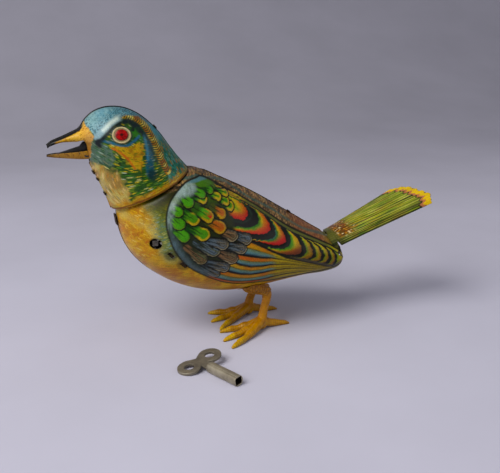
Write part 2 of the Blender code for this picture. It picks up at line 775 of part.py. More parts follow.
BEAK_ROWS = [
    (-92.0, 84.6, 85.4, 0.36), (-89.8, 84.2, 85.7, 0.5), (-86.6, 83.8, 85.9, 0.68),
    (-82.5, 83.4, 86.1, 0.84), (-78.5, 83.0, 86.4, 0.95), (-74.4, 82.9, 86.8, 1.0)]
BARREL_RADIUS = 1.5 * MM
BEAK_ARM_END = (-75.8 * MM, 85.2 * MM)
BEAK_ARM_RADIUS = 1.2 * MM
LEVER = 1.0 * MM


def wire_rise():
    """How far up the neck's axis the beak's lever crosses it."""
    return (BEAK_PIN_Z - NECK_Z) / NECK_AXIS.z


def beak_channel():
    across = [(1.0, 1.0), (0.97, 0.5), (0.8, 0.14), (0.4, 0.0), (0.0, -0.03)]
    across += [(-wide, up) for wide, up in reversed(across[:-1])]
    points = [
        (x * MM, wide * share * BEAK_HALF_WIDTH, (low + up * (high - low)) * MM)
        for x, low, high, share in BEAK_ROWS for wide, up in across]
    count = len(across)
    faces = [
        (k * count + j, k * count + j + 1, (k + 1) * count + j + 1, (k + 1) * count + j)
        for k in range(len(BEAK_ROWS) - 1) for j in range(count - 1)]
    mesh = bpy.data.meshes.new("channel")
    mesh.from_pydata(points, [], faces)
    made = linked("lower_beak", mesh)
    wall = made.modifiers.new("wall", "SOLIDIFY")
    wall.thickness = SHEET
    wall.offset = 1.0 if mesh.polygons[3].normal.z > 0 else -1.0
    return cleaned(settled(made))


def lower_beak():
    made = beak_channel()
    pin = flat(BEAK_PIN)
    inside = BEAK_HALF_WIDTH - SHEET / 2
    for side in (-1, 1):
        arm = bar_outline(BEAK_ARM_END, pin, BEAK_ARM_RADIUS, BARREL_RADIUS)
        low, high = sorted((side * inside, side * (inside - 1.5 * SHEET)))
        joined(made, slab("arm", [arm], low, high))
    half = Vector((0.0, inside - SHEET / 4, 0.0))
    barrel = rod("barrel", BEAK_PIN - half, BEAK_PIN + half, BARREL_RADIUS - 0.05 * MM, 12)
    crossing = on_neck(wire_rise())
    lever = slab("lever", [bar_outline(pin, flat(crossing), 1.1 * MM, 0.8 * MM)],
                 -LEVER / 2, LEVER / 2)
    joined(made, barrel, lever)
    wide = Vector((0.0, 2 * BEAK_HALF_WIDTH, 0.0))
    return cut(made, rod("bore", BEAK_PIN - wide, BEAK_PIN + wide, BEAK_PIN_RADIUS + GAP, 12))


def beak_pin():
    """A pin from cheek to cheek, a gap short of the walls all round its ends."""
    rim = circle(flat(BEAK_PIN), BEAK_PIN_RADIUS, 8)
    reach = min(head_reach(x, z) for x, z in rim) - 1.2 * SHEET - GAP
    half = Vector((0.0, reach, 0.0))
    return rod("beak_pin", BEAK_PIN - half, BEAK_PIN + half, BEAK_PIN_RADIUS, 12)


def beak_wire():
    """Push wire up the spindle, with a foot for the rocker's cross pin."""
    foot = 0.6 * MM
    low = ROCKER_BEAK_RISE + WIRE_RADIUS + 2 * GAP
    high = wire_rise() - 0.8 * MM - GAP - 0.1 * MM
    profile = [
        (0.0, high), (WIRE_RADIUS, high), (WIRE_RADIUS, low + foot), (1.3 * MM, low + foot),
        (1.3 * MM, low), (0.0, low)]
    return turned("beak_wire", profile, NECK_CENTRE, NECK_AXIS, 10)


fit(lower_beak(), beak_pivot, "beak_tin")
fit(beak_pin(), head_pivot, "steel")
fit(beak_wire(), wire_pivot, "steel")


# Tail: a crowned and folded sheet with ears on a wire pin and a lever for the pull rod

TAIL_CROWN = 3.2 * MM
TAIL_TIP_CROWN = 1.1 * MM
TAIL_TIP_REACH = 6.5 * MM
TAIL_SCALLOP = 0.4 * MM
TAIL_TONGUE_END = 2.5 * MM
TAIL_ROOT = 2.9 * MM
TAIL_STATIONS = [-3.5, -1.5, 1.5, 2.1, 2.9, 12.0, 22.0, 34.0]
TAIL_LEVER_Y = (-3.2 * MM, -2.4 * MM)
EAR_LENGTHS = (-2.0 * MM, 1.8 * MM)
EAR_BELOW_PIN = 1.6 * MM
TONGUE_FOLD = 0.4 * MM


def tail_half_width(along):
    if along < TAIL_TONGUE_END:
        return TAIL_TONGUE_HALF
    share = max(along - TAIL_ROOT, 0.0) / (TAIL_LENGTH - TAIL_ROOT)
    return TAIL_ROOT_HALF + (TAIL_TIP_HALF - TAIL_ROOT_HALF) * share**1.2


def tail_fold(along):
    """How far the side edges turn down: ears at the pin, flanges behind it."""
    if EAR_LENGTHS[0] < along < EAR_LENGTHS[1]:
        return TAIL_LIFT + EAR_BELOW_PIN
    if along < TAIL_TONGUE_END:
        return TONGUE_FOLD
    return TAIL_FOLD


def tail_tip(share):
    """How far the end reaches past the corners: a bow with small scallops."""
    return TAIL_TIP_REACH * (1 - abs(share)**3) + TAIL_SCALLOP * math.cos(6 * math.pi * share)


def tail_sheet():
    shares = np.linspace(-1.0, 1.0, 11)
    points = []
    stations = [station * MM for station in TAIL_STATIONS] + [TAIL_LENGTH]
    for row, along in enumerate(stations):
        half = tail_half_width(along)
        crown = TAIL_CROWN + (TAIL_TIP_CROWN - TAIL_CROWN) * max(along, 0.0) / TAIL_LENGTH
        edge = [(-1.0, -tail_fold(along))]
        edge += [(share, crown * (1 - share**2)) for share in shares]
        edge += [(1.0, -tail_fold(along))]
        for share, up in edge:
            tip = row == len(stations) - 1
            reach = along + (tail_tip(share) if tip else 0.0)
            points.append(on_tail(reach, TAIL_LIFT + up, half * share))
    count = len(shares) + 2
    faces = [
        (k * count + j, k * count + j + 1, (k + 1) * count + j + 1, (k + 1) * count + j)
        for k in range(len(stations) - 1) for j in range(count - 1)]
    mesh = bpy.data.meshes.new("sheet")
    mesh.from_pydata([tuple(point) for point in points], [], faces)
    made = linked("tail", mesh)
    wall = made.modifiers.new("wall", "SOLIDIFY")
    wall.thickness = TAIL_SHEET
    wall.offset = -1.0 if mesh.polygons[count // 2].normal.z > 0 else 1.0
    wall.use_even_offset = True
    return cleaned(settled(made))


def tail():
    made = tail_sheet()
    pin = flat(TAIL_PIN)
    low, high = TAIL_LEVER_Y
    neck = bar_outline(flat(on_tail(-0.6 * MM, TAIL_LIFT + TAIL_CROWN - 0.8 * MM)), pin,
                       1.0 * MM, 1.4 * MM)
    arm = bar_outline(pin, TAIL_LEVER_END, 1.7 * MM, 0.9 * MM)
    joined(made, slab("neck", [neck], low + 0.05 * MM, high - 0.05 * MM))
    joined(made, slab("arm", [arm], low, high))
    wide = Vector((0.0, TAIL_ROOT_HALF, 0.0))
    return cut(made, rod("bore", TAIL_PIN - wide, TAIL_PIN + wide, TAIL_PIN_RADIUS + GAP, 12))


def tail_pin():
    reach = flank_reach(TAIL_PIN_X, TAIL_PIN_Z) + SEAM / 2 + GAP
    half = Vector((0.0, reach, 0.0))
    return rod("tail_pin", TAIL_PIN - half, TAIL_PIN + half, TAIL_PIN_RADIUS, 12)


def tail_rod():
    """Pull rod beside the rocker's short arm and the tail's lever."""
    y = LEVER_Y + ROCKER_PLATE + GAP + 0.1 * MM + WIRE_RADIUS
    ends = [spread(ROCKER_TAIL, y), spread(TAIL_LEVER_END, y)]
    return tube("tail_rod", ends, [WIRE_RADIUS] * 2)


fit(tail(), tail_pivot, "tail_tin")
fit(tail_pin(), bird, "steel")
fit(tail_rod(), rod_pivot, "steel")


# Legs: a feathered thigh, a shank and four knuckled toes in one moulding, held by a peg

LEGS = {
    "left": ((-0.9, -10.7), [(-20.5, -9.8), (-21.6, -19.7), (-19.8, -27.8)], (13.2, -8.5)),
    "right": ((-1.5, 8.9), [(-20.4, 14.1), (-21.5, 3.4), (-19.8, -6.6)], (13.5, 10.5)),
}
ANKLE_Z = 4.6 * MM
SOLE = 0.2 * MM
TOE_PROFILE = [
    (0.0, 1.7), (0.26, 1.5), (0.42, 1.65), (0.58, 1.15), (0.72, 1.3), (0.88, 0.9), (1.0, 0.5)]
SPUR_PROFILE = [(0.0, 1.8), (0.3, 1.6), (0.6, 1.35), (0.85, 0.9), (1.0, 0.5)]


def toe(ankle, tip, profile):
    """A toe from under the ankle to its tip, lying on the floor."""
    points, radii = [], []
    for share, radius in profile:
        radius *= MM
        lift = (ANKLE_Z * 0.45) * (1 - share) ** 3
        x = ankle[0] + (tip[0] - ankle[0]) * share
        y = ankle[1] + (tip[1] - ankle[1]) * share
        points.append((x * MM, y * MM, radius - SOLE + lift))
        radii.append(radius)
    return tube("toe", points, radii)


def leg(hand, side):
    ankle, toes, spur = LEGS[hand]
    x, y = ankle[0] * MM, ankle[1] * MM
    hip_y = side * HIP_Y
    belly = belly_height(HIP_X, hip_y)
    thigh = [
        (HIP_X - 3.0 * MM, hip_y, belly + 3.5 * MM, 3.0 * MM),
        (HIP_X - 0.4 * MM, hip_y, belly + 2.2 * MM, 4.6 * MM),
        (HIP_X + 3.4 * MM, hip_y, belly + 0.6 * MM, 4.3 * MM),
        (HIP_X + 6.8 * MM, (hip_y + y) / 2, 20.6 * MM, 3.0 * MM),
        (HIP_X + 8.9 * MM, y, 18.3 * MM, 2.1 * MM),
        (HIP_X + 9.0 * MM, y, 15.4 * MM, 1.75 * MM),
        (HIP_X + 7.9 * MM, y, 11.5 * MM, 1.6 * MM),
        (x + 0.5 * MM, y, 7.5 * MM, 1.75 * MM),
        (x, y, ANKLE_Z, 2.1 * MM),
        (x, y, -1.0 * MM, 2.3 * MM),
    ]
    made = tube("leg_" + hand, [row[:3] for row in thigh], [row[3] for row in thigh], 10)
    cut(made, body_envelope("envelope", GAP))
    for tip in toes:
        joined(made, toe(ankle, tip, TOE_PROFILE))
    joined(made, toe(ankle, spur, SPUR_PROFILE))
    peg = Vector((HIP_X, hip_y, belly - 1.0 * MM))
    top = Vector((HIP_X, hip_y, washer_height() + WASHER_THICKNESS + GAP + 0.5 * MM))
    joined(made, rod("peg", peg, top, PEG_RADIUS, 12))
    floor = block("floor", (0.1, 0.1, 0.02), Matrix.Translation((0.0, 0.0, -0.01)))
    return cut(made, floor)


def washer_height():
    """The washer lies on the belly's sloping inside, where that is highest under it."""
    highest = max(
        belly_height(HIP_X + WASHER_RADIUS * math.cos(turn), HIP_Y + WASHER_RADIUS * math.sin(turn))
        for turn in np.linspace(0, math.pi, 7))
    return highest + 1.15 * SHEET + GAP


def leg_washer(hand, side):
    profile = ring(PEG_RADIUS + GAP, WASHER_RADIUS, 0.0, WASHER_THICKNESS)
    base = Vector((HIP_X, side * HIP_Y, washer_height()))
    return turned("leg_washer_" + hand, profile, base, (0.0, 0.0, 1.0), 12)


for side, hand in ((-1, "left"), (1, "right")):
    fit(leg(hand, side), bird, "leg_plastic")
    fit(leg_washer(hand, side), bird, "bare_tin")


# Clockwork frame

PLATE_OUTLINE = [
    (-52.6, 38.0), (-49.5, 36.6), (-36.0, 34.0), (-24.0, 31.0), (-14.0, 24.2), (10.0, 24.4),
    (14.5, 25.2), (18.5, 27.6), (18.5, 36.4), (2.0, 45.0), (-14.0, 53.0), (-25.0, 62.0), (-36.0, 66.0),
    (-42.0, 64.6), (-59.2, 58.6), (-60.2, 54.0), (-58.8, 45.6)]
PLATE_WINDOW = (-43.6 * MM, 55.4 * MM)
PLATE_WINDOW_RADIUS = 5.0 * MM


def plate_loops():
    loops = [[(x * MM, z * MM) for x, z in PLATE_OUTLINE]]
    loops.append(circle(ARBORS[0], WIND_RADIUS + GAP, 14))
    loops += [circle(place, ARBOR_RADIUS + GAP, 10) for place in ARBORS[1:]]
    loops.append(circle(flat(ROCKER), ROCKER_RADIUS + GAP, 12))
    loops.append(circle(PLATE_WINDOW, PLATE_WINDOW_RADIUS))
    return loops + [circle(place, PILLAR_RADIUS + GAP, 10) for place in PILLARS]


def frame_plate(name, side):
    low, high = sorted((side * PLATE_Y, side * (PLATE_Y + PLATE)))
    made = slab(name, plate_loops(), low, high)
    if side < 0:
        for place in BREAST_SLOTS:
            end = flank_reach(*place) + SEAM / 2
            start = PLATE_Y + PLATE / 2
            middle = Matrix.Translation((place[0], -(start + end) / 2, place[1])) @ slot_turn()
            size = (SLOT_LENGTH - 2 * GAP, end - start, SLOT_WIDTH - 2 * GAP)
            joined(made, block("lug", size, middle))
    return made


def frame_pillar(number, place):
    end = PLATE_Y + PLATE + GAP
    return rod(
        "frame_pillar_" + str(number), spread(place, -end), spread(place, end), PILLAR_RADIUS, 12)


fit(frame_plate("frame_plate_left", -1), bird, "bare_tin")
fit(frame_plate("frame_plate_right", 1), bird, "bare_tin")
for number, place in enumerate(PILLARS, 1):
    fit(frame_pillar(number, place), bird, "steel")


# Winding arbor, ratchet and mainspring

RATCHET_TEETH = 12
RATCHET_RADIUS = 4.2 * MM
RATCHET_DEPTH = 0.9 * MM
RATCHET_Y = (-1.2 * MM, -0.2 * MM)
GREAT_Y = (0.2 * MM, 0.2 * MM + WHEEL)
CLICK_AT = math.radians(70)
CLICK_STUD = 5.6 * MM


def winding_arbor():
    made = rod("winding_arbor", spread(ARBORS[0], -PLATE_Y - PLATE - 1.0 * MM),
               spread(ARBORS[0], PLATE_Y + PLATE + 2 * GAP), WIND_RADIUS)
    length = -WIND_END_Y - PLATE_Y - PLATE - 0.8 * MM
    middle = Matrix.Translation((WIND_X, WIND_END_Y + length / 2, WIND_Z))
    return joined(made, block("square", (WIND_SQUARE, length, WIND_SQUARE), middle))


def ratchet_wheel():
    step = 2 * math.pi / RATCHET_TEETH
    outline = []
    for tooth in range(RATCHET_TEETH):
        outline.append(polar(ARBORS[0], RATCHET_RADIUS, tooth * step))
        outline.append(polar(ARBORS[0], RATCHET_RADIUS - RATCHET_DEPTH, (tooth + 0.15) * step))
    return slab("ratchet_wheel", [outline, circle(ARBORS[0], WIND_RADIUS + GAP)], *RATCHET_Y)


def click():
    """A pawl on the great wheel, its nose just clear of the ratchet."""
    stud = polar(ARBORS[0], CLICK_STUD + 0.4 * MM, CLICK_AT)
    nose = polar(ARBORS[0], RATCHET_RADIUS + GAP + 0.5 * MM, CLICK_AT - math.radians(38))
    return slab("click", [bar_outline(stud, nose, 1.0 * MM, 0.4 * MM)], *RATCHET_Y)


def click_spring():
    y = sum(RATCHET_Y) / 2
    turns = np.linspace(CLICK_AT - math.radians(45), CLICK_AT - math.radians(140), 8)
    points = [spread(polar(ARBORS[0], 6.1 * MM, turn), y) for turn in turns]
    return tube("click_spring", points, [0.25 * MM] * len(points))


def mainspring():
    """A flat strip wound outwards from the arbor to the post that holds its outer end."""
    half = SPRING_STRIP / 2
    inner = WIND_RADIUS + GAP + half
    outer = SPRING_POST_DISTANCE - PILLAR_RADIUS - GAP - half
    count = int(13 * SPRING_TURNS)
    shares = np.linspace(0.0, 1.0, count)
    last = math.atan2(SPRING_POST[1] - WIND_Z, SPRING_POST[0] - WIND_X)
    turns = [last - 2 * math.pi * SPRING_TURNS * (1 - share) for share in shares]
    radii = [inner + (outer - inner) * share for share in shares]
    outline = [polar(ARBORS[0], radius + half, turn) for radius, turn in zip(radii, turns)]
    outline += [
        polar(ARBORS[0], radius - half, turn) for radius, turn in zip(radii[::-1], turns[::-1])]
    low = -PLATE_Y + GAP
    return slab("mainspring", [outline], low, low + SPRING_WIDTH)


# Wheels and pinions

def gear_outline(centre, teeth, tooth_at):
    """Straight-flanked teeth on a pitch circle, one of them pointing at tooth_at."""
    pitch = MODULE * teeth / 2
    root, tip = pitch - 1.15 * MODULE, pitch + 0.85 * MODULE
    step = 2 * math.pi / teeth
    flanks = ((root, -0.3), (tip, -0.12), (tip, 0.12), (root, 0.3))
    return [
        polar(centre, radius, tooth_at + (tooth + share) * step)
        for tooth in range(teeth) for radius, share in flanks]


def pinion(centre, driver_at, y_low, y_high):
    """A pinion with a gap towards the wheel that drives it."""
    gap = driver_at + math.pi + math.pi / PINION_LEAVES
    return slab("pinion", [gear_outline(centre, PINION_LEAVES, gap)], y_low, y_high)


def wheel(name, centre, tooth_at, y_low, y_high, bore=None):
    loops = [gear_outline(centre, WHEEL_TEETH, tooth_at)]
    if bore is not None:
        loops.append(circle(centre, bore))
    return slab(name, loops, y_low, y_high)


def arbor(centre):
    end = PLATE_Y + PLATE + GAP
    return rod("arbor", spread(centre, -end), spread(centre, end), ARBOR_RADIUS, 12)


PINION_OVER = 0.7 * MM
SECOND_Y = (3.4 * MM, 3.4 * MM + WHEEL)
ECCENTRIC_Y = (-2.4 * MM - WHEEL, -2.4 * MM)
ECCENTRIC_END = LEVER_Y + ROCKER_PLATE + GAP


def great_wheel():
    return wheel("great_wheel", ARBORS[0], TRAIN_ANGLES[0], *GREAT_Y, WIND_RADIUS + GAP)


def second_wheel():
    made = wheel("second_wheel", ARBORS[1], TRAIN_ANGLES[1], *SECOND_Y)
    leaves = pinion(
        ARBORS[1], TRAIN_ANGLES[0], GREAT_Y[0] - PINION_OVER / 2, SECOND_Y[0] + WHEEL / 2)
    return joined(made, leaves, arbor(ARBORS[1]))


def eccentric_wheel():
    made = wheel("eccentric_wheel", ARBORS[2], TRAIN_ANGLES[2], *ECCENTRIC_Y)
    leaves = pinion(
        ARBORS[2], TRAIN_ANGLES[1], ECCENTRIC_Y[1] - WHEEL / 2, SECOND_Y[1] + PINION_OVER)
    off_centre = polar(ARBORS[2], ECCENTRIC_THROW, math.radians(126))
    eccentric = rod("eccentric", spread(off_centre, ECCENTRIC_END),
                    spread(off_centre, ECCENTRIC_Y[0] + WHEEL / 2), ECCENTRIC_RADIUS, 14)
    return joined(made, leaves, arbor(ARBORS[2]), eccentric)


def governor_fly():
    """A pinion and two air vanes on one arbor."""
    made = arbor(ARBORS[3])
    made.name = "governor_fly"
    leaves = pinion(
        ARBORS[3], TRAIN_ANGLES[2], ECCENTRIC_Y[0] - PINION_OVER, ECCENTRIC_Y[1] + PINION_OVER)
    vane = Matrix.Translation((ARBORS[3][0], 3.5 * MM, ARBORS[3][1]))
    size = (2 * FLY_RADIUS, 5.0 * MM, 0.5 * MM)
    return joined(made, leaves, block("vane", size, vane))


fit(winding_arbor(), wind_pivot, "steel")
fit(ratchet_wheel(), wind_pivot, "steel")
fit(mainspring(), bird, "spring_steel")
fit(great_wheel(), great_pivot, "brass")
fit(click(), great_pivot, "steel")
fit(click_spring(), great_pivot, "spring_steel")
fit(second_wheel(), second_pivot, "brass")
fit(eccentric_wheel(), eccentric_pivot, "brass")
fit(governor_fly(), fly_pivot, "brass")


# Rocker lever and what it moves

def rocker_lever():
    """Three arms inside the left plate and one outside the right, on one arbor."""
    end = PLATE_Y + PLATE + GAP
    outer = end + 0.1 * MM + ROCKER_PLATE
    made = rod("rocker_lever", spread(flat(ROCKER), -end), spread(flat(ROCKER), outer),
               ROCKER_RADIUS)
    low, high = LEVER_Y, LEVER_Y + ROCKER_PLATE
    centre = flat(ROCKER)
    ends = [flat(ROCKER_BEAK), ROCKER_FOLLOWER, ROCKER_BELLOWS]
    star = star_outline(centre, ends, 1.4 * MM, 0.9 * MM)
    joined(made, slab("arms", [star], low, high))
    joined(made, rod("cross_pin", spread(flat(ROCKER_BEAK), low + GAP),
                     spread(flat(ROCKER_BEAK), 1.2 * MM), WIRE_RADIUS, 10))
    hanging = bar_outline(centre, ROCKER_WHISTLE, 1.8 * MM, 0.9 * MM)
    joined(made, slab("arm", [hanging], outer - ROCKER_PLATE, outer + 0.1 * MM))
    pad = spread(ROCKER_WHISTLE, outer - GAP)
    pad_end = spread(ROCKER_WHISTLE, whistle_y() + 1.2 * MM)
    return joined(made, rod("pad", pad, pad_end, WIRE_RADIUS, 10))


def whistle_y():
    return PLATE_Y + PLATE + GAP + WHISTLE_RADIUS


def whistle_tube():
    """A tin tube with a mouth slot, riding on the right plate."""
    profile = ring(WHISTLE_RADIUS - WHISTLE_WALL, WHISTLE_RADIUS, 0.0, WHISTLE_LENGTH)
    base = Vector((WHISTLE_X, whistle_y(), WHISTLE_Z))
    made = turned("whistle_tube", profile, base, (1.0, 0.0, 0.0), 20)
    slot = Matrix.Translation(base + Vector((WHISTLE_LENGTH - 4.0 * MM, 0.0, WHISTLE_RADIUS)))
    return cut(made, block("slot", (1.6 * MM, 3.0 * MM, 2.0 * MM), slot))


def whistle_piston():
    bore = WHISTLE_RADIUS - WHISTLE_WALL - GAP
    start = ROCKER_X + WIRE_RADIUS + GAP - WHISTLE_X
    profile = [
        (0.0, 9.0 * MM), (bore, 9.0 * MM), (bore, 6.0 * MM), (WIRE_RADIUS, 6.0 * MM),
        (WIRE_RADIUS, start), (0.0, start)]
    base = Vector((WHISTLE_X, whistle_y(), WHISTLE_Z))
    return turned("whistle_piston", profile, base, (1.0, 0.0, 0.0), 16)


def bellows_base():
    half = PLATE_Y - GAP
    low = BELLOWS_FLOOR_Z
    front = BELLOWS_HINGE_X - BELLOWS_LENGTH
    size = (BELLOWS_LENGTH, 2 * half, BELLOWS_BOARD)
    place = Matrix.Translation(((front + BELLOWS_HINGE_X) / 2, 0.0, low + BELLOWS_BOARD / 2))
    return block("bellows_base", size, place)


BELLOWS_HALF = 7.0 * MM
BELLOWS_TOP_BOARD = 1.2 * MM


def board_underside(x):
    return HINGE_Z + (BELLOWS_HINGE_X - x) * math.tan(BELLOWS_TILT)


def bellows_board():
    front = BELLOWS_HINGE_X - BELLOWS_LENGTH
    low = [(BELLOWS_HINGE_X, board_underside(BELLOWS_HINGE_X)), (front, board_underside(front))]
    high = [(x, z + BELLOWS_TOP_BOARD) for x, z in reversed(low)]
    return slab("bellows_board", [low + high], -BELLOWS_HALF, BELLOWS_HALF)


def bellows_leather():
    """Three pleats between the boards, shallower towards the hinge."""
    floor = BELLOWS_FLOOR_Z + BELLOWS_BOARD + GAP
    front, back = BELLOWS_HINGE_X - BELLOWS_LENGTH + 0.6 * MM, BELLOWS_HINGE_X - 0.6 * MM
    half = BELLOWS_HALF - 0.6 * MM
    corners = [(front, -half), (back, -half), (back, half), (front, half)]
    levels = 7
    points = []
    for level in range(levels):
        share = level / (levels - 1)
        for x, y in corners:
            height = board_underside(x) - GAP - floor
            inset = 0.22 * height if level % 2 else 0.0
            inward = inset if x == front else -inset
            points.append((x + inward, y - math.copysign(inset, y), floor + share * height))
    faces = [
        (4 * k + j, 4 * k + (j + 1) % 4, 4 * k + 4 + (j + 1) % 4, 4 * k + 4 + j)
        for k in range(levels - 1) for j in range(4)]
    mesh = bpy.data.meshes.new("leather")
    mesh.from_pydata(points, [], faces)
    made = linked("bellows_leather", mesh)
    wall = made.modifiers.new("wall", "SOLIDIFY")
    wall.thickness = 0.3 * MM
    wall.offset = -1.0
    return cleaned(settled(made))


def bellows_link():
    x = ROCKER_BELLOWS[0]
    y = LEVER_Y - GAP - WIRE_RADIUS - 0.1 * MM
    foot = board_underside(x) + BELLOWS_TOP_BOARD + GAP + 0.2 * MM
    inward = x + 1.4 * MM
    points = [(x, y, ROCKER_BELLOWS[1]), (x, y, foot + 2.0 * MM), (inward, y, foot + WIRE_RADIUS)]
    return tube("bellows_link", points, [WIRE_RADIUS] * 3)


fit(rocker_lever(), rocker_pivot, "bare_tin")
fit(whistle_tube(), bird, "bare_tin")
fit(whistle_piston(), piston_pivot, "brass")
fit(bellows_base(), bird, "cast_zinc")
fit(bellows_board(), board_pivot, "bare_tin")
fit(bellows_leather(), bird, "leather")
fit(bellows_link(), link_pivot, "steel")


# The key, lying on the floor

KEY_TONGUE = 2.1 * MM
KEY_TONGUE_LENGTH = 3.5 * MM
key_pivot = pivot("key_pivot", (KEY_X, KEY_Y, KEY_TUBE_RADIUS), bird)


def key_place():
    """The key's own X runs down its tube; the bow leans until a loop meets the floor."""
    turn = Matrix.Rotation(KEY_HEADING, 4, "Z") @ Matrix.Rotation(KEY_ROLL, 4, "X")
    return Matrix.Translation((KEY_X, KEY_Y, KEY_TUBE_RADIUS + 0.05 * MM)) @ turn


def laid(made):
    """Stand an upright piece, modelled square to Y, flat in the key's place."""
    made.data.transform(key_place() @ Matrix.Rotation(-math.pi / 2, 4, "X"))
    return cleaned(made)


def key_bow():
    """Two eyes joined by a waist, with a neck and a tongue that enters the tube."""
    arc = [math.radians(turn) for turn in range(-50, 216, 15)]
    eye = [polar((-KEY_LOOP_BACK, KEY_LOOP_SPREAD), KEY_LOOP_RADIUS, turn) for turn in arc]
    neck = KEY_TUBE_RADIUS - GAP
    upper = [(0.0, KEY_TONGUE / 2), (0.0, neck), *eye]
    lower = [(x, -y) for x, y in reversed(upper)]
    waist = (-KEY_LOOP_BACK - KEY_LOOP_RADIUS * 0.5, 0.0)
    end = [(KEY_TONGUE_LENGTH, -KEY_TONGUE / 2), (KEY_TONGUE_LENGTH, KEY_TONGUE / 2)]
    loops = [[*upper, waist, *lower, *end]]
    for side in (-1, 1):
        loops.append(circle((-KEY_LOOP_BACK, side * KEY_LOOP_SPREAD), KEY_LOOP_HOLE, 20))
    return laid(slab("key_bow", loops, -KEY_PLATE / 2, KEY_PLATE / 2))


def key_tube():
    made = rod("key_tube", (GAP, 0.0, 0.0), (KEY_TUBE_LENGTH, 0.0, 0.0), KEY_TUBE_RADIUS, 20)
    square = WIND_SQUARE + GAP
    size = (4 * KEY_TUBE_LENGTH, square, square)
    cut(made, block("bore", size, Matrix()))
    made.data.transform(key_place())
    return made


fit(key_bow(), key_pivot, "steel")
fit(key_tube(), key_pivot, "steel")
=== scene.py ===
# %% [markdown]
# # A wind-up tin bird
# The toy is a songbird of printed tinplate: two pressed half shells make the body and two the
# head, the tail and the lower beak are folded from one sheet each, the legs are moulded plastic
# and a steel key lies beside it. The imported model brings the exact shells, pins and clockwork.
# These cells dress it: each shell is worked out again as a fine surface, so that the print can
# be laid on it point by point, and the metal inside keeps its solids and gets its finish.

# %% Loading the frame
import math

import bmesh
import bpy
import numpy as np
from mathutils import Matrix, Vector


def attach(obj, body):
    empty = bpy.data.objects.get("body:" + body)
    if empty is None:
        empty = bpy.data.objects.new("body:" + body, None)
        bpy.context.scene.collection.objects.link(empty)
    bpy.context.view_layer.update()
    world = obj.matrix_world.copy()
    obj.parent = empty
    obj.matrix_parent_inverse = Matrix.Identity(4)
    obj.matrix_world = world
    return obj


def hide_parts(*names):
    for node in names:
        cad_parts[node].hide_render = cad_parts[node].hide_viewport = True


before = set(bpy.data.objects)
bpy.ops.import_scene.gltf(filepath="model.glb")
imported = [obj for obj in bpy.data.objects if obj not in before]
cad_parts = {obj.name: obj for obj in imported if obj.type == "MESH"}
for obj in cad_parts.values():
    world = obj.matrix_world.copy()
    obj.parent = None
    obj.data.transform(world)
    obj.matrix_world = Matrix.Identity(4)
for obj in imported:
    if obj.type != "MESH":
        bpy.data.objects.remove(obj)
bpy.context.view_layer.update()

# %% [markdown]
# ## Measures
# Everything of the bird is laid out in millimetres from a point on the floor between its
# ankles: x towards the tail, y towards the bird's right side, z up. One function carries such
# points to the frame's own metres.

# %% Measures
MM = 0.001
BETWEEN_ANKLES = np.array([4.41, 17.97, 0.0])
SIDE_VIEW = [0, 2]
SHEET = 0.3
SEAM = 0.3


def placed(points):
    """Points in millimetres from between the ankles, as metres in the frame."""
    return (np.asarray(points, float) + BETWEEN_ANKLES) * MM


def smooth(low, high, value):
    """0 below low, 1 above high, and the cubic 3s^2 - 2s^3 between them."""
    share = np.clip((value - low) / (high - low), 0.0, 1.0)
    return share * share * (3 - 2 * share)


print("between the ankles, in the frame's metres", placed([0.0, 0.0, 0.0]))

# %% [markdown]
# ## The camera and the studio
# The photograph looks down by sixteen degrees from the bird's left, a little ahead of it. The
# camera stands where the known sizes put it. A sheet of pale paper, its colour painted darker to
# the back as painted shade, runs under the bird and curves up behind it, as on a product table,
# and large soft lamps light it from above and from the left.

# %% Camera
def linked(name, data):
    """A new object on this data, linked to the scene."""
    made = bpy.data.objects.new(name, data)
    bpy.context.scene.collection.objects.link(made)
    return made


camera = linked("camera", bpy.data.cameras.new("camera"))
camera.location = (-0.09119, -0.28353, 0.133)
camera.rotation_euler = (math.radians(74.0), 0.0, math.radians(-17.0))
camera.data.sensor_width = 36.0
camera.data.lens = 50.4
camera.data.clip_start = 0.01
bpy.context.scene.camera = camera
bpy.context.scene.view_settings.view_transform = "Standard"
print("lens", camera.data.lens, "mm")


# %% Colours
def linear(code):
    """An sRGB hex colour as linear red, green, blue: c/12.92 below 0.04045, else a 2.4 power."""
    srgb = np.array([int(code[k:k + 2], 16) / 255 for k in (1, 3, 5)])
    return np.where(srgb <= 0.04045, srgb / 12.92, ((srgb + 0.055) / 1.055) ** 2.4)


def scale(text):
    """Places and colours of a scale written as '0 #1a1a1a, 0.5 #808080, 1 #f0f0f0'."""
    pairs = [stop.split() for stop in text.split(",")]
    return [(float(place), linear(code)) for place, code in pairs]


def tones(value, stops):
    """Colours along a scale, by value."""
    places, colours = zip(*scale(stops))
    return np.stack([np.interp(value, places, channel) for channel in zip(*colours)], axis=1)


print("a mid grey is", linear("#808080").round(4))


# %% Node helper
def socket_named(owner, key):
    """An input by its number, as i0, or by its name in lower case with underscores."""
    if key[1:].isdigit():
        return owner.inputs[int(key[1:])]
    return owner.inputs[key.replace("_", " ").title().replace("Ior", "IOR")]


def feed(owner, **inputs):
    """Sets a node's sockets to values or hex colours, or links them to other nodes' outputs."""
    for key, value in inputs.items():
        socket = socket_named(owner, key)
        if isinstance(value, bpy.types.NodeSocket):
            owner.id_data.links.new(value, socket)
        else:
            socket.default_value = (*linear(value), 1.0) if isinstance(value, str) else value


def add(tree, kind, settings=None, stops=None, **inputs):
    """One node: settings go to its properties, stops to its ramp, inputs to its sockets."""
    made = tree.nodes.new("ShaderNode" + kind)
    for key, value in (settings or {}).items():
        setattr(made, key, value)
    if stops:
        places = scale(stops) if isinstance(stops, str) else [
            (place, (grey,) * 3) for place, grey in stops]
        for _ in places[2:]:
            made.color_ramp.elements.new(0.5)
        for element, (place, colour) in zip(made.color_ramp.elements, places):
            element.position = place
            element.color = (*colour, 1.0)
    feed(made, **inputs)
    return made


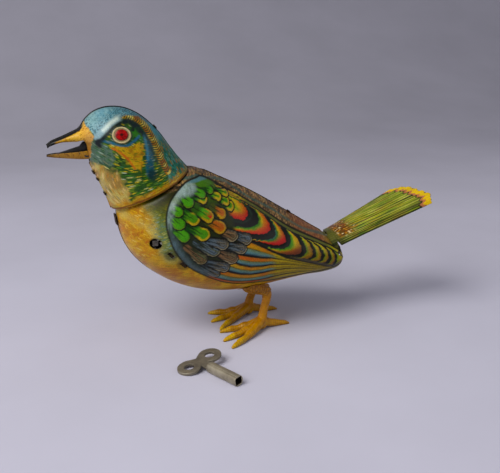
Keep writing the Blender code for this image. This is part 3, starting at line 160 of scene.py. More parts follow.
def material(name, **sockets):
    """A new material with a Principled shader; its tree, its shader and the Object coordinates."""
    made = bpy.data.materials.new(name)
    made.use_nodes = True
    shader = made.node_tree.nodes["Principled BSDF"]
    feed(shader, **sockets)
    place = add(made.node_tree, "TexCoord").outputs["Object"]
    return made, made.node_tree, shader, place


print("materials before any is made", len(bpy.data.materials))


# %% Mesh helper
def grid_faces(rows, columns, closed=False):
    """Four-cornered faces over a grid of points, each row joined to the next."""
    number = np.arange(rows * columns).reshape(rows, columns)
    if closed:
        number = np.concatenate([number, number[:, :1]], axis=1)
    return np.stack(
        [number[:-1, :-1], number[1:, :-1], number[1:, 1:], number[:-1, 1:]], -1).reshape(-1, 4)


def new_object(name, points, faces):
    """A mesh object at the origin from arrays of points in metres and of faces."""
    mesh = bpy.data.meshes.new(name)
    mesh.from_pydata(np.asarray(points).reshape(-1, 3).tolist(), [], np.asarray(faces).tolist())
    mesh.update()
    mesh.shade_smooth()
    return linked(name, mesh)


print("a grid of 3 by 4 points has", len(grid_faces(3, 4)), "faces")


# %% Floor and backdrop
def sweep_surface(across, along):
    """Floor for the first share of the run, a quarter round, then a wall going up."""
    width, reach, bend, height = 3.6, 1.3, 0.9, 1.2
    arc = bend * math.pi / 2
    run = along * (reach + arc + height)
    turn = np.clip((run - reach) / bend, 0, math.pi / 2)
    y = np.minimum(run, reach) + bend * np.sin(turn) - 0.8
    z = bend * (1 - np.cos(turn)) + np.maximum(run - reach - arc, 0)
    return np.stack([(across - 0.5) * width, y, z], axis=-1)


across, along = np.meshgrid(np.linspace(0, 1, 24), np.linspace(0, 1, 90), indexing="ij")
backdrop = new_object("backdrop", sweep_surface(across, along), grid_faces(24, 90))
paper, tree, shader, place = material("matt_paper", roughness=0.9)
fibre = add(tree, "TexNoise", vector=place, scale=9.0, detail=6.0)
# The paper's colour is graded darker towards the back: painted shade of the lamps' light falling
# off.
depth = add(tree, "SeparateXYZ", i0=place).outputs["Y"]
reach = add(tree, "MapRange", value=depth, from_min=0.05, from_max=0.65)
painted_shade_to_back = add(tree, "ValToRGB", stops="0 #c8c6d6, 0.4 #c2c0cf, 1 #b2b0bd", i0=reach.outputs[0])
speckled = add(tree, "ValToRGB", stops="0.3 #f4f4f4, 0.7 #ffffff", i0=fibre.outputs["Fac"])
mottled = add(tree, "Mix", {"data_type": "RGBA", "blend_type": "MULTIPLY"}, i0=1.0,
              i6=painted_shade_to_back.outputs[0], i7=speckled.outputs[0])
feed(shader, base_color=mottled.outputs[2])
backdrop.data.materials.append(paper)
print("paper", len(backdrop.data.polygons), "faces")


# %% Lamps
def lamp(name, place, aim, size, watts, tint="#ffffff"):
    """A square soft box at a place, turned to look at its aim."""
    data = bpy.data.lights.new(name, "AREA")
    data.shape = "SQUARE"
    data.size = size
    data.energy = watts
    data.color = linear(tint)
    made = linked(name, data)
    made.location = place
    made.rotation_euler = (Vector(aim) - Vector(place)).to_track_quat("-Z", "Y").to_euler()


AIM = (0.0, 0.0, 0.05)
lamp("soft_box_above", (-0.80, -0.42, 0.98), AIM, 0.75, 13.8, "#fffdf9")
lamp("soft_box_left", (-0.75, -0.45, 0.45), AIM, 0.5, 1.8, "#f4f7ff")
lamp("soft_box_right", (0.65, -0.35, 0.5), AIM, 0.5, 0.9)
world = bpy.data.worlds.new("studio")
bpy.context.scene.world = world
world.use_nodes = True
sky = world.node_tree.nodes["Background"]
feed(sky, color="#e9e9f2", strength=0.3)
print("lamps", len(bpy.data.lights))

# %% [markdown]
# ## The pressed shells as surfaces
# A shell was pressed from flat sheet in a die, so it is one smooth skin with no sharp step but
# its edges. The solid model draws it through cross sections, each known by its lowest and
# highest point and its half width. The same rule is used here with far more points: station
# and angle are the two parameters, and the rows between are blended by Catmull and Rom's curve.
# A row holds x and z of the lowest and of the highest point, the half width, for the body as a
# share of its widest, and the power of the sine, for the head one above and one below.

# %% Sections
NECK_CENTRE = np.array([-49.7, 0.0, 69.2])
NECK_LEAN = math.radians(24.8)
BODY_HALF_WIDTH = 26.0


def collar_row(radius, rise):
    """A round section square to the neck's axis, as one row of the tables."""
    x = NECK_CENTRE[0] - rise * math.sin(NECK_LEAN)
    z = NECK_CENTRE[2] + rise * math.cos(NECK_LEAN)
    dx, dz = radius * math.cos(NECK_LEAN), radius * math.sin(NECK_LEAN)
    return (x - dx, z - dz, x + dx, z + dz, radius, 1.0, 1.0)


BODY_SECTIONS = [
    (-64.7, 57.6, -30.6, 77.3, 0.74, 1.15), (-63.6, 51.1, -25.2, 75.5, 0.85, 1.3),
    (-61.5, 44.8, -19.0, 72.5, 0.92, 1.35), (-57.5, 38.3, -12.4, 69.3, 0.975, 1.35),
    (-51.3, 32.1, -5.2, 65.7, 1.0, 1.35), (-42.8, 26.3, 2.6, 61.2, 0.99, 1.35),
    (-32.6, 22.0, 10.6, 56.2, 0.96, 1.35), (-20.5, 19.7, 17.8, 51.7, 0.89, 1.35),
    (-7.0, 19.8, 23.6, 48.0, 0.80, 1.35), (6.5, 21.4, 28.2, 45.1, 0.71, 1.3),
    (19.3, 22.8, 32.2, 42.7, 0.63, 1.2), (29.4, 23.2, 35.8, 40.4, 0.56, 1.1),
    (36.3, 24.2, 39.0, 37.8, 0.47, 1.0), (40.2, 25.9, 41.0, 34.6, 0.31, 1.0),
    (41.8, 27.8, 42.3, 31.4, 0.11, 1.0)]
HEAD_SECTIONS = [
    (-68.7, 67.4, -37.2, 82.4, 17.8, 1.0, 1.05), (-70.9, 72.8, -40.8, 87.3, 17.2, 1.05, 1.1),
    (-73.3, 78.0, -44.4, 92.5, 16.7, 1.05, 1.15), (-75.4, 83.0, -48.5, 97.1, 15.9, 1.05, 1.3),
    (-76.4, 86.4, -53.5, 101.2, 14.5, 1.05, 1.5), (-77.0, 88.2, -59.5, 103.9, 12.6, 1.05, 1.6),
    (-77.5, 89.0, -66.0, 104.4, 10.2, 1.05, 1.5), (-78.0, 89.4, -71.4, 102.9, 8.0, 1.05, 1.3),
    (-78.6, 89.6, -75.3, 99.9, 6.1, 1.0, 1.1), (-79.7, 89.8, -78.1, 96.1, 4.7, 1.0, 1.0),
    (-82.2, 90.0, -81.3, 94.4, 3.8, 1.0, 1.0), (-86.0, 90.0, -85.7, 92.5, 2.7, 1.0, 1.0),
    (-89.6, 88.9, -89.5, 91.0, 1.7, 1.0, 1.0), (-91.4, 88.1, -91.7, 89.4, 0.9, 1.0, 1.0)]
BODY = np.array([collar_row(15.8, 4.5), collar_row(16.8, 0.0)] + [
    (lx, lz, hx, hz, share * BODY_HALF_WIDTH, keen, 1.0)
    for lx, lz, hx, hz, share, keen in BODY_SECTIONS])
HEAD = np.array([collar_row(18.8, 0.0)] + HEAD_SECTIONS)
MOUTH_EDGE = [(3.5, 1.0), (3.9, 0.915), (5.0, 0.87), (6.0, 0.83), (8.0, 0.75), (14.0, 0.72)]
print("body sections", len(BODY), "head sections", len(HEAD))


# %% Skin
def blended(rows, at):
    """Rows at fractional row numbers, on the cubic through four neighbours of each."""
    last = len(rows) - 1
    at = np.clip(at, 0, last - 1e-9)
    row = at.astype(int)
    share = (at - row)[..., None]
    before, here, after, beyond = (rows[np.clip(row + k, 0, last)] for k in (-1, 0, 1, 2))
    return 0.5 * (
        2 * here + (after - before) * share
        + (2 * before - 5 * here + 4 * after - beyond) * share**2
        + (3 * here - before - 3 * after + beyond) * share**3)


def skin(rows, at, angle, side):
    """Middle of the section plus its half height times cos(angle) and its half width times a
    power of sin(angle); angle 0 is the back or crown, pi the belly or throat."""
    row = blended(rows, at)
    low, high = row[..., 0:2], row[..., 2:4]
    middle, half = (low + high) / 2, (high - low) / 2
    keen = np.where(angle < math.pi / 2, row[..., 5], row[..., 6])
    wide = row[..., 4] * np.abs(np.sin(angle)) ** keen + SEAM / 2
    place = middle + half * np.cos(angle)[..., None]
    return np.stack([place[..., 0], side * wide, place[..., 1]], axis=-1)


def mouth_edge(at):
    """Where a section of the head stops: at the throat's seam, then at the mouth's edge."""
    rows, shares = zip(*MOUTH_EDGE)
    return math.pi * np.interp(at, rows, shares)


def evened(rows, count):
    """Station numbers spaced by the mean length of the skin between them, not by row."""
    at = np.linspace(0, len(rows) - 1, 600)
    lines = np.stack([skin(rows, at, np.full_like(at, share * math.pi), -1)
                      for share in (0.25, 0.5, 0.75)])
    step = np.linalg.norm(np.diff(lines, axis=1), axis=-1).mean(axis=0)
    run = np.concatenate([[0], np.cumsum(step)])
    return np.interp(np.linspace(0, run[-1], count), run, at)


print("the widest row is met at", skin(BODY, np.array([6.0]), np.array([1.57]), 1)[0].round(1))

# %% [markdown]
# ## Plane outlines
# The wing's pressed edge, the winding hole and the tail's opening are outlines seen from the
# side. A signed distance to an outline serves them all: it says how far the wing has risen,
# how wide a printed line is, and which of the skin's points a hole takes away.

# %% Distance to outlines
def to_line(points, line):
    """Distance to an open line through the given points."""
    best = np.full(len(points), 1e9)
    for (x, z), (ex, ez) in zip(line[:-1], line[1:]):
        dx, dz = ex - x, ez - z
        px, pz = points[:, 0] - x, points[:, 1] - z
        share = np.clip((px * dx + pz * dz) / (dx * dx + dz * dz), 0, 1)
        best = np.minimum(best, np.hypot(px - share * dx, pz - share * dz))
    return best


def to_outline(points, outline):
    """How far each point lies inside a closed outline, negative outside: a point is inside if
    a level line from it to one side crosses the outline an odd number of times."""
    ring = np.asarray([*outline, outline[0]], float)
    inside = np.zeros(len(points), bool)
    for (x, z), (dx, dz) in zip(ring, np.diff(ring, axis=0)):
        px, pz = points[:, 0] - x, points[:, 1] - z
        if dz:
            inside ^= ((pz < 0) != (pz < dz)) & (px < pz / dz * dx)
    away = to_line(points, ring)
    return np.where(inside, away, -away)


def bean(points, root, tip, width):
    """Signed distance to a round-ended stroke that swells to its tip, the share along it and
    the way aside from its middle."""
    root, tip = np.array(root), np.array(tip)
    length = np.linalg.norm(tip - root)
    way = (tip - root) / length
    reach = length - width / 2
    off = points - root
    share = np.clip(off @ way / reach, 0, 1)
    away = np.linalg.norm(off - share[:, None] * reach * way, axis=1)
    aside = off[:, 0] * -way[1] + off[:, 1] * way[0]
    return away - width / 2 * (0.72 + 0.28 * share), off @ way / length, aside


WING_CORNERS = [
    (-26.8, 73.9), (-31.1, 74.3), (-37.1, 72.9), (-43.4, 67.8), (-46.2, 61.8), (-46.3, 54.8),
    (-43.4, 45.9), (-37.1, 37.7), (-26.0, 31.0), (-17.0, 27.8), (-3.8, 26.8), (17.4, 26.4),
    (35.0, 28.4), (40.8, 32.0), (34.4, 37.4), (27.4, 41.2), (18.8, 45.4), (9.8, 50.4),
    (-3.3, 59.8), (-15.4, 67.4)]
WING_OUTLINE = blended(
    np.array(WING_CORNERS[-1:] + WING_CORNERS + WING_CORNERS[:2]),
    np.linspace(1, len(WING_CORNERS) + 1, 6 * len(WING_CORNERS), endpoint=False))
WING_RISE = 0.8
WING_EDGE = 3.0
SLOTS = [(-44.9, 43.7), (-39.7, 38.9)]
KEYHOLE = (-51.0, 48.8)
KEYHOLE_RADIUS = 2.4
print("wing outline", len(WING_OUTLINE), "points")

# %% [markdown]
# ## Printing colours
# Tinplate toys were printed flat in several colours of ink, one stone or plate after another,
# and varnished. Here too one ink is laid over another: each layer is a colour and a cover from
# 0 to 1 for every point of the skin, worked out from where the point lies. Fine strokes come
# from a jittered lattice, whose cells each draw one short dash of their own length and tone.


# %% Inks
def chance(*cells):
    """An even random number for each whole-numbered cell: the fraction of a large sine."""
    total = sum(cell * step for cell, step in zip(cells, (127.1, 311.7, 74.7, 269.5)))
    value = np.sin(total) * 43758.5453
    return value - np.floor(value)


def cloud(points, size, seed=0):
    """Smooth random tone from 0 to 1: chance at the corners of cells, blended between them."""
    at = np.asarray(points) / size
    cell = np.floor(at)
    share = at - cell
    share = share * share * (3 - 2 * share)
    total = 0.0
    for corner in np.ndindex(*(2,) * at.shape[1]):
        weight = np.prod(np.where(corner, share, 1 - share), axis=1)
        total = total + weight * chance(*(cell + corner).T, seed)
    return total


def dashes(along, across, length, width, seed=0, fill=0.9, slim=0.75):
    """Cover of short strokes in brick rows, and each one's own random number."""
    row = np.floor(across / width)
    shifted = along / length + chance(row, seed, 1)
    cell = np.floor(shifted)
    pick = chance(cell, row, seed, 2)
    a = (shifted - cell - 0.5) / (0.28 + 0.22 * chance(cell, row, seed, 3))
    b = (across / width - row - 0.5) / (0.5 * slim)
    return smooth(1.15, 0.6, np.hypot(a, b)) * (chance(cell, row, seed, 4) < fill), pick


def scales(along, across, size, seed=0):
    """Cover of small open arcs in brick rows, and each one's own random number."""
    row = np.floor(across / size)
    shifted = along / size + 0.5 * row
    cell = np.floor(shifted)
    a = shifted - cell - 0.5 + 0.25 * (chance(cell, row, seed, 3) - 0.5)
    b = across / size - row - 0.4
    ring = np.abs(np.hypot(a, b) - 0.36)
    return smooth(0.15, 0.05, ring) * smooth(-0.15, 0.1, b), chance(cell, row, seed, 2)


print("a dash covers", dashes(np.zeros(1), np.zeros(1), 2.0, 1.0)[0], "at the origin")


# %% Printed page
class Print:
    """Ink on a skin: starts as one colour, and each layer covers it by a share."""

    def __init__(self, count, ground):
        """One colour on every point to begin with."""
        self.ink = np.tile(linear(ground), (count, 1))

    def lay(self, colour, cover):
        """Covers the ink by a share with a hex colour or with a colour for every point."""
        tone = linear(colour) if isinstance(colour, str) else colour
        self.ink += (tone - self.ink) * np.clip(cover, 0, 1)[:, None]

    def strokes(self, marks, stops, cover):
        """Lays dashes or scales, each in its own tone from a scale, by a further share."""
        mark, pick = marks
        self.lay(tones(pick, stops), mark * cover)

    def deepened(self, amount):
        """The inks pushed away from the grey of their own lightness by this factor."""
        grey = (self.ink @ [0.2126, 0.7152, 0.0722])[:, None]
        return np.clip(grey + (self.ink - grey) * amount, 0.001, 1.0)


def sampled(paint, x, z, *more):
    """The ink that a painting function lays at one point of the side view."""
    page = Print(1, "#808080")
    paint(page, np.array([[x, z]], float), *more)
    return page.ink[0].round(3)


FULL = np.ones(1)
print("grey ink", Print(1, "#808080").ink[0].round(3))

# %% [markdown]
# ## The body's print
# The breast is yellow-orange with rows of short strokes and fades to grey-green by the wing
# and to ochre on the belly. The back has a band of brown and gold flecks. On the wing, round
# coverts lie like tiles, green with yellow rims above and grey below, nested chevrons run back
# along its upper edge, and long flight feathers fan along the lower one.

# %% Wing feathers
# Root x and z, tip x and z, width, and the kind that names its inks.
COVERTS = [
    (-31.8, 38.5, -24.6, 33.4, 4.2, "slate"), (-30.1, 40.4, -20.4, 36.7, 4.7, "slate"),
    (-25.9, 44.8, -17.1, 40.3, 5.2, "slate"), (-21.2, 47.1, -13.0, 44.4, 4.7, "slate"),
    (-17.3, 50.8, -10.4, 47.7, 4.7, "slate"), (-38.8, 47.8, -30.6, 40.5, 5.2, "mossy"),
    (-34.9, 49.9, -25.2, 44.3, 5.6, "mossy"), (-29.9, 50.1, -21.2, 47.1, 4.7, "slate"),
    (-24.4, 53.6, -16.9, 49.8, 4.7, "slate"), (-44.1, 56.3, -37.8, 50.9, 5.2, "leaf"),
    (-37.2, 56.3, -29.5, 51.3, 5.6, "lime"), (-29.8, 58.3, -22.2, 53.4, 5.2, "amber"),
    (-44.6, 61.1, -39.6, 56.1, 6.1, "leaf"), (-40.1, 62.2, -33.3, 57.8, 5.2, "lime"),
    (-34.4, 63.3, -27.1, 58.3, 5.2, "scarlet"), (-26.7, 62.8, -21.3, 58.8, 4.2, "amber"),
    (-44.8, 64.3, -39.7, 61.7, 4.7, "leaf"), (-39.6, 68.6, -35.1, 64.6, 5.6, "leaf"),
    (-35.0, 68.2, -28.6, 65.4, 3.8, "lime"), (-21.6, 64.0, -16.8, 61.2, 4.2, "lime"),
    (-23.5, 65.7, -18.2, 63.5, 3.8, "lime"), (-23.1, 68.4, -17.4, 66.5, 3.3, "lime"),
    (-27.4, 68.0, -21.6, 65.5, 3.3, "lime"), (-35.2, 70.5, -28.9, 67.5, 3.8, "leaf"),
    (-29.1, 70.4, -24.8, 68.4, 3.3, "leaf")]
# Dark root, bright core, rim.
COVERT_INKS = {
    "leaf": ("#16380a", "#4d8a0c", "#6d8f14"), "lime": ("#16380a", "#4a7d0c", "#b39a12"),
    "scarlet": ("#2c4a0c", "#a3280f", "#a88f14"), "amber": ("#3a4410", "#9a5610", "#a88414"),
    "mossy": ("#1c2410", "#56583c", "#a09874"), "slate": ("#1c1c18", "#6a604a", "#aca284")}
OUTLINE_INK = "#0a0c08"
NEST = [
    [(-17.5, 69.2), (-14.7, 67.0), (-13.0, 64.1), (-11.5, 61.4), (-10.2, 58.6), (-10.8, 57.2),
     (-13.6, 56.1), (-16.3, 56.9), (-20.7, 59.5)],
    [(-15.0, 66.8), (-11.9, 63.9), (-9.0, 61.6), (-7.0, 59.5), (-5.6, 57.4), (-5.2, 55.4),
     (-6.3, 53.8), (-8.6, 53.1), (-12.1, 53.0), (-18.7, 54.9)],
    [(-9.8, 63.5), (-6.3, 60.8), (-3.8, 58.5), (-1.7, 55.6), (-0.3, 52.7), (-0.4, 50.4),
     (-2.5, 49.4), (-6.6, 49.6), (-12.8, 51.1), (-17.6, 52.9)],
    [(-7.9, 62.4), (-4.5, 59.7), (-1.5, 57.0), (0.8, 54.3), (2.1, 51.6), (2.4, 48.9), (0.9, 47.1),
     (-2.4, 46.8), (-6.9, 47.5), (-15.5, 50.1)],
    [(-3.2, 58.7), (0.7, 55.6), (3.2, 52.8), (5.5, 49.8), (7.0, 46.8), (7.0, 44.8), (5.2, 43.8),
     (1.4, 44.0), (-2.7, 45.3), (-9.9, 48.1)],
    [(-0.7, 57.6), (2.9, 54.7), (5.9, 51.9), (8.4, 49.2), (9.8, 46.2), (9.7, 44.0), (8.3, 42.2),
     (4.4, 42.0), (-1.2, 43.4), (-8.1, 46.1)],
    [(4.8, 53.2), (8.2, 50.0), (10.8, 47.5), (13.4, 44.5), (14.8, 41.3), (15.0, 39.2),
     (13.2, 38.4), (8.9, 38.7), (4.2, 40.2), (-2.4, 43.2)],
    [(7.3, 52.0), (10.9, 49.0), (13.9, 46.9), (15.8, 44.3), (17.2, 41.3), (17.7, 38.3),
     (15.8, 36.9), (12.0, 37.1), (6.8, 38.4), (-0.4, 41.5)],
    [(11.3, 48.7), (14.6, 46.0), (17.0, 44.1), (19.6, 41.2), (21.0, 38.2), (20.7, 36.2),
     (17.4, 35.6), (12.5, 36.5), (3.6, 39.2)],
    [(13.4, 47.4), (16.8, 45.0), (19.6, 42.7), (21.7, 40.5), (22.8, 37.9), (22.4, 35.4),
     (19.1, 34.6), (13.6, 35.6), (5.7, 37.9)],
    [(16.4, 45.7), (19.2, 43.2), (22.0, 41.2), (24.7, 38.4), (25.7, 35.7), (24.6, 33.6),
     (20.2, 33.7), (12.0, 35.6)],
    [(18.5, 44.5), (21.4, 42.4), (24.2, 40.4), (26.3, 38.1), (27.5, 35.4), (26.3, 33.1),
     (22.0, 33.0), (14.2, 34.7)],
    [(21.1, 43.0), (23.4, 41.3), (26.8, 39.2), (29.0, 36.8), (29.7, 34.1), (28.1, 32.1),
     (23.7, 32.1), (16.4, 33.9)],
    [(23.1, 41.9), (25.5, 40.6), (28.9, 38.4), (30.6, 36.1), (31.3, 33.4), (29.9, 31.3),
     (25.6, 31.1), (18.7, 32.8)],
    [(25.5, 40.6), (27.4, 39.3), (31.0, 37.2), (32.7, 34.9), (33.2, 32.6), (31.8, 30.4),
     (27.4, 30.2), (21.1, 31.8)],
    [(27.5, 39.4), (30.1, 38.2), (33.1, 36.1), (34.5, 33.6), (34.4, 31.4), (33.3, 29.2),
     (29.3, 29.2), (23.4, 30.8)]]
NEST_INKS = [
    ("0 #3f8a06, 0.4 #5f8a0a, 0.6 #b8a00c, 0.85 #b8800c, 1 #a3501a",
     "0 #3a6a08, 0.45 #8a7a0c, 0.65 #b0480a, 1 #a82404"),
    ("0 #0a0e0a, 0.25 #141c14, 0.42 #2c4034, 0.55 #18241c, 0.7 #080a08",
     "0 #0a0e0a, 0.3 #18241c, 0.5 #0a0c08, 1 #0a0c08"),
    ("0 #2f5a06, 0.2 #5a8008, 0.38 #bfa80e, 0.6 #c08214, 1 #a8481a",
     "0 #2c6a08, 0.4 #4a7a0a, 0.5 #b8540c, 1 #ad2606"),
    ("0 #080a08, 1 #0a0e0a", "0 #080a08, 1 #0a0c08"),
    ("0 #36605a, 0.25 #3a6a14, 0.45 #bfa80e, 0.7 #bd8218, 1 #96581c",
     "0 #36605a, 0.3 #2f6a0a, 0.5 #94480c, 0.7 #b02a08, 1 #942006"),
    ("0 #080a08, 1 #0a0e0a", "0 #080a08, 1 #0a0c08"),
    ("0 #2f6408, 0.3 #5f8f0c, 0.55 #c2ac10, 1 #b8881c",
     "0 #2f6408, 0.35 #6a7c16, 0.6 #85482c, 1 #5c3020"),
    ("0 #0c0e08, 1 #12140a", "0 #0c0e08, 1 #12140a"),
    ("0 #4a700a, 0.35 #8f9a0c, 0.8 #c2ac12, 1 #a8881a",
     "0 #4a700a, 0.5 #8a701c, 1 #6a4420")]
LAST_INKS = (("0 #5a7a0a, 0.4 #aca010, 1 #a88c14",
              "0 #5a6f0c, 0.6 #8a7216, 1 #644420"),
             ("0 #12140a, 1 #18160c", "0 #12140a, 1 #18160c"))
FLIGHT_LINES = [
    [(-30.8, 55.9), (-20.1, 51.0), (-10.8, 47.7), (-5.2, 44.6), (-1.4, 42.2), (6.1, 38.1),
     (14.1, 35.3), (25.6, 31.4), (34.2, 28.3)],
    [(-31.2, 51.4), (-20.3, 45.1), (-15.8, 42.8), (-11.2, 41.5), (-5.5, 40.0), (-1.5, 39.3),
     (6.2, 37.0), (14.2, 34.3), (25.7, 30.7), (34.3, 27.9)],
    [(-31.1, 47.1), (-26.8, 44.0), (-20.3, 40.6), (-15.7, 38.2), (-10.9, 36.7), (-5.3, 36.2),
     (-1.4, 36.3), (6.3, 35.2), (14.4, 33.2), (25.9, 29.9), (34.6, 27.5)],
    [(-31.0, 42.4), (-26.6, 38.2), (-19.8, 35.2), (-15.3, 33.7), (-10.6, 32.9), (-4.9, 33.0),
     (-1.1, 33.4), (6.4, 33.1), (14.5, 31.8), (26.2, 29.1), (35.0, 26.9)],
    [(-30.7, 35.9), (-26.1, 32.2), (-19.2, 30.0), (-14.6, 29.2), (-9.9, 28.9), (-4.1, 29.2),
     (-0.5, 29.8), (7.2, 30.3), (15.2, 29.8), (26.5, 28.2), (35.5, 26.3)],
    [(-30.2, 31.3), (-25.6, 29.0), (-18.6, 27.0), (-13.8, 26.1), (-9.0, 25.8), (-3.4, 26.4),
     (0.5, 26.9), (8.2, 27.1), (16.2, 27.1), (27.1, 27.0), (35.1, 26.0)]]

print("coverts", len(COVERTS), "tongues", len(NEST), "fan lines", len(FLIGHT_LINES))


# %% Bands of the wing
def nested(points):
    """Running number among nested outlines: the count of those a point lies outside, plus its
    way past the last of them as a share of the whole gap to the next one."""
    back = [(-60.0, 40.0), (-60.0, 90.0)]
    outside = -np.stack([to_outline(points, line + back) for line in NEST])
    count = (outside > 0).sum(axis=0)
    column = np.arange(len(points))
    past = np.where(count > 0, outside[np.maximum(count - 1, 0), column], 6.5 + outside[0])
    left = np.where(count < len(NEST), -outside[np.minimum(count, len(NEST) - 1), column], 3.0)
    past, left = np.clip(past, 0, None), np.clip(left, 1e-6, None)
    return count + past / (past + left)


def flight_bands(points):
    """Which pair of fan lines a point lies between, as a running number from the top one."""
    heights = np.stack([np.interp(points[:, 0], *zip(*line)) for line in FLIGHT_LINES])
    band = np.full(len(points), -1.0)
    for k in range(len(heights) - 1):
        high, low = heights[k], heights[k + 1]
        share = (high - points[:, 1]) / np.maximum(high - low, 1e-3)
        band = np.where((share >= 0) & (share < 1), k + share, band)
    return np.where(points[:, 1] <= heights[-1], len(heights) - 1.001, band)


print("tongue number at the wing's middle", nested(np.array([[0.0, 50.0]])).round(2))


# %% Long feathers
def lay_flight(page, points, cover):
    """Long feathers: orange over a blue web in front, olive with brown lines behind."""
    band = flight_bands(points)
    share = band - np.floor(band)
    rear = smooth(-3.5, 2.5, points[:, 0] + 3 * (cloud(points, 5.0, 7) - 0.5))
    warm = tones(chance(np.floor(band), 3.0) + 0.5 * (cloud(points, 4.0, 9) - 0.5),
                 "0 #a8300a, 0.4 #b8640a, 0.8 #b08a0a")
    bright = tones(share, "0 #0a0806, 0.08 #1c160a, 0.14 #9a6a0c, 0.42 #a8800c, 0.5 #3f3410,"
                   "0.56 #6a7c5c, 0.78 #5a7c80, 0.9 #2c4450, 0.95 #0a0c0c, 1 #0a0806")
    core = smooth(0.10, 0.18, share) * smooth(0.48, 0.40, share) * smooth(4.0, -8.0, points[:, 0])
    bright = bright + (warm - bright) * (0.9 * core)[:, None]
    olive = tones(share, "0 #1c100c, 0.06 #3c2418, 0.14 #a3940c, 0.45 #a8920c, 0.58 #6a441c,"
                  "0.66 #968c14, 0.88 #84781c, 0.95 #3c2418, 1 #1c100c")
    page.lay(bright + (olive - bright) * rear[:, None], cover)
    page.strokes(dashes(points[:, 0] + 0.3 * points[:, 1], points[:, 1], 5.0, 0.42, 91, fill=0.5),
                 "0 #3a2c12, 1 #8f8440", cover * 0.35)
    return smooth(0.12, 0.0, np.minimum(share, 1 - share))


def lay_nest(page, points, cover):
    """Tongues of colour one within another, each edged in black, warmest at their lower tips."""
    wave = np.stack([cloud(points * [1.0, 1.6], 1.1, seed) - 0.5 for seed in (61, 63)], axis=1)
    number = nested(points + wave * 0.55)
    step = np.clip(number.astype(int), 0, len(NEST))
    share = number - step
    tips = np.array([line[5][1] for line in NEST[:8]] + [line[4][1] for line in NEST[8:]] + [29.0])
    low = smooth(4.5, 0.5, points[:, 1] - tips[step])
    for k in range(len(NEST) + 1):
        here = step == k
        if here.any():
            upper, lower = NEST_INKS[k] if k < len(NEST_INKS) else LAST_INKS[k % 2]
            tone = tones(share[here], upper)
            tone = tone + (tones(share[here], lower) - tone) * low[here][:, None]
            page.ink[here] += (tone - page.ink[here]) * cover[here][:, None]
    return (step % 2 == 1) * np.sin(math.pi * share)


print("flight ink", sampled(lay_flight, -20, 36, FULL), "nest ink", sampled(lay_nest, 0, 50, FULL))


# %% Coverts
def lay_covert(layer, kind, away, share, aside, seed):
    """One covert: a dark root, a bright core, a rim inside the black line round its tip."""
    deep, core, rim = COVERT_INKS[kind]
    fill = smooth(0.10, -0.10, away)
    layer.lay(deep, fill)
    streaky = cloud(np.column_stack([aside * 3.0, share * 4.0]), 1.0, seed)
    if kind == "scarlet":
        layer.lay("#4d8a0c", fill * smooth(0.1, 0.4, share) * smooth(-0.3, -0.8, away))
    start = 0.50 if kind == "scarlet" else 0.10
    inner = fill * smooth(-0.3, -0.8, away)
    layer.lay(core, inner * smooth(start, start + 0.4, share + 0.5 * (streaky - 0.5)))
    wide = 1.35 if kind in ("lime", "amber", "scarlet") else 0.75
    edge = smooth(-wide, -wide + 0.5, away - 0.35 * smooth(0.0, 2.0, aside))
    layer.lay(rim, fill * edge * smooth(0.30, 0.62, share) * 0.95)
    if kind in ("slate", "mossy"):
        tinge = "#546470" if int(seed) % 3 else "#74563c"
        layer.lay(tinge, inner * smooth(0.2, 0.7, streaky) * 0.8)
        bars = smooth(0.22, 0.08, np.abs((away + 2.3) % 1.0 - 0.5))
        layer.lay("#0e0c08", fill * bars * smooth(0.1, 0.5, share) * smooth(-0.3, -0.9, away) * 0.8)
    shaft = smooth(0.26, 0.10, np.abs(aside)) * smooth(0.80, 0.45, share)
    layer.lay("#0c1406", fill * shaft * 0.85)
    ring = smooth(0.34, 0.20, np.abs(away - 0.05)) * smooth(0.0, 0.25, share)
    layer.lay(OUTLINE_INK, ring)


print("covert kinds", ", ".join(COVERT_INKS))


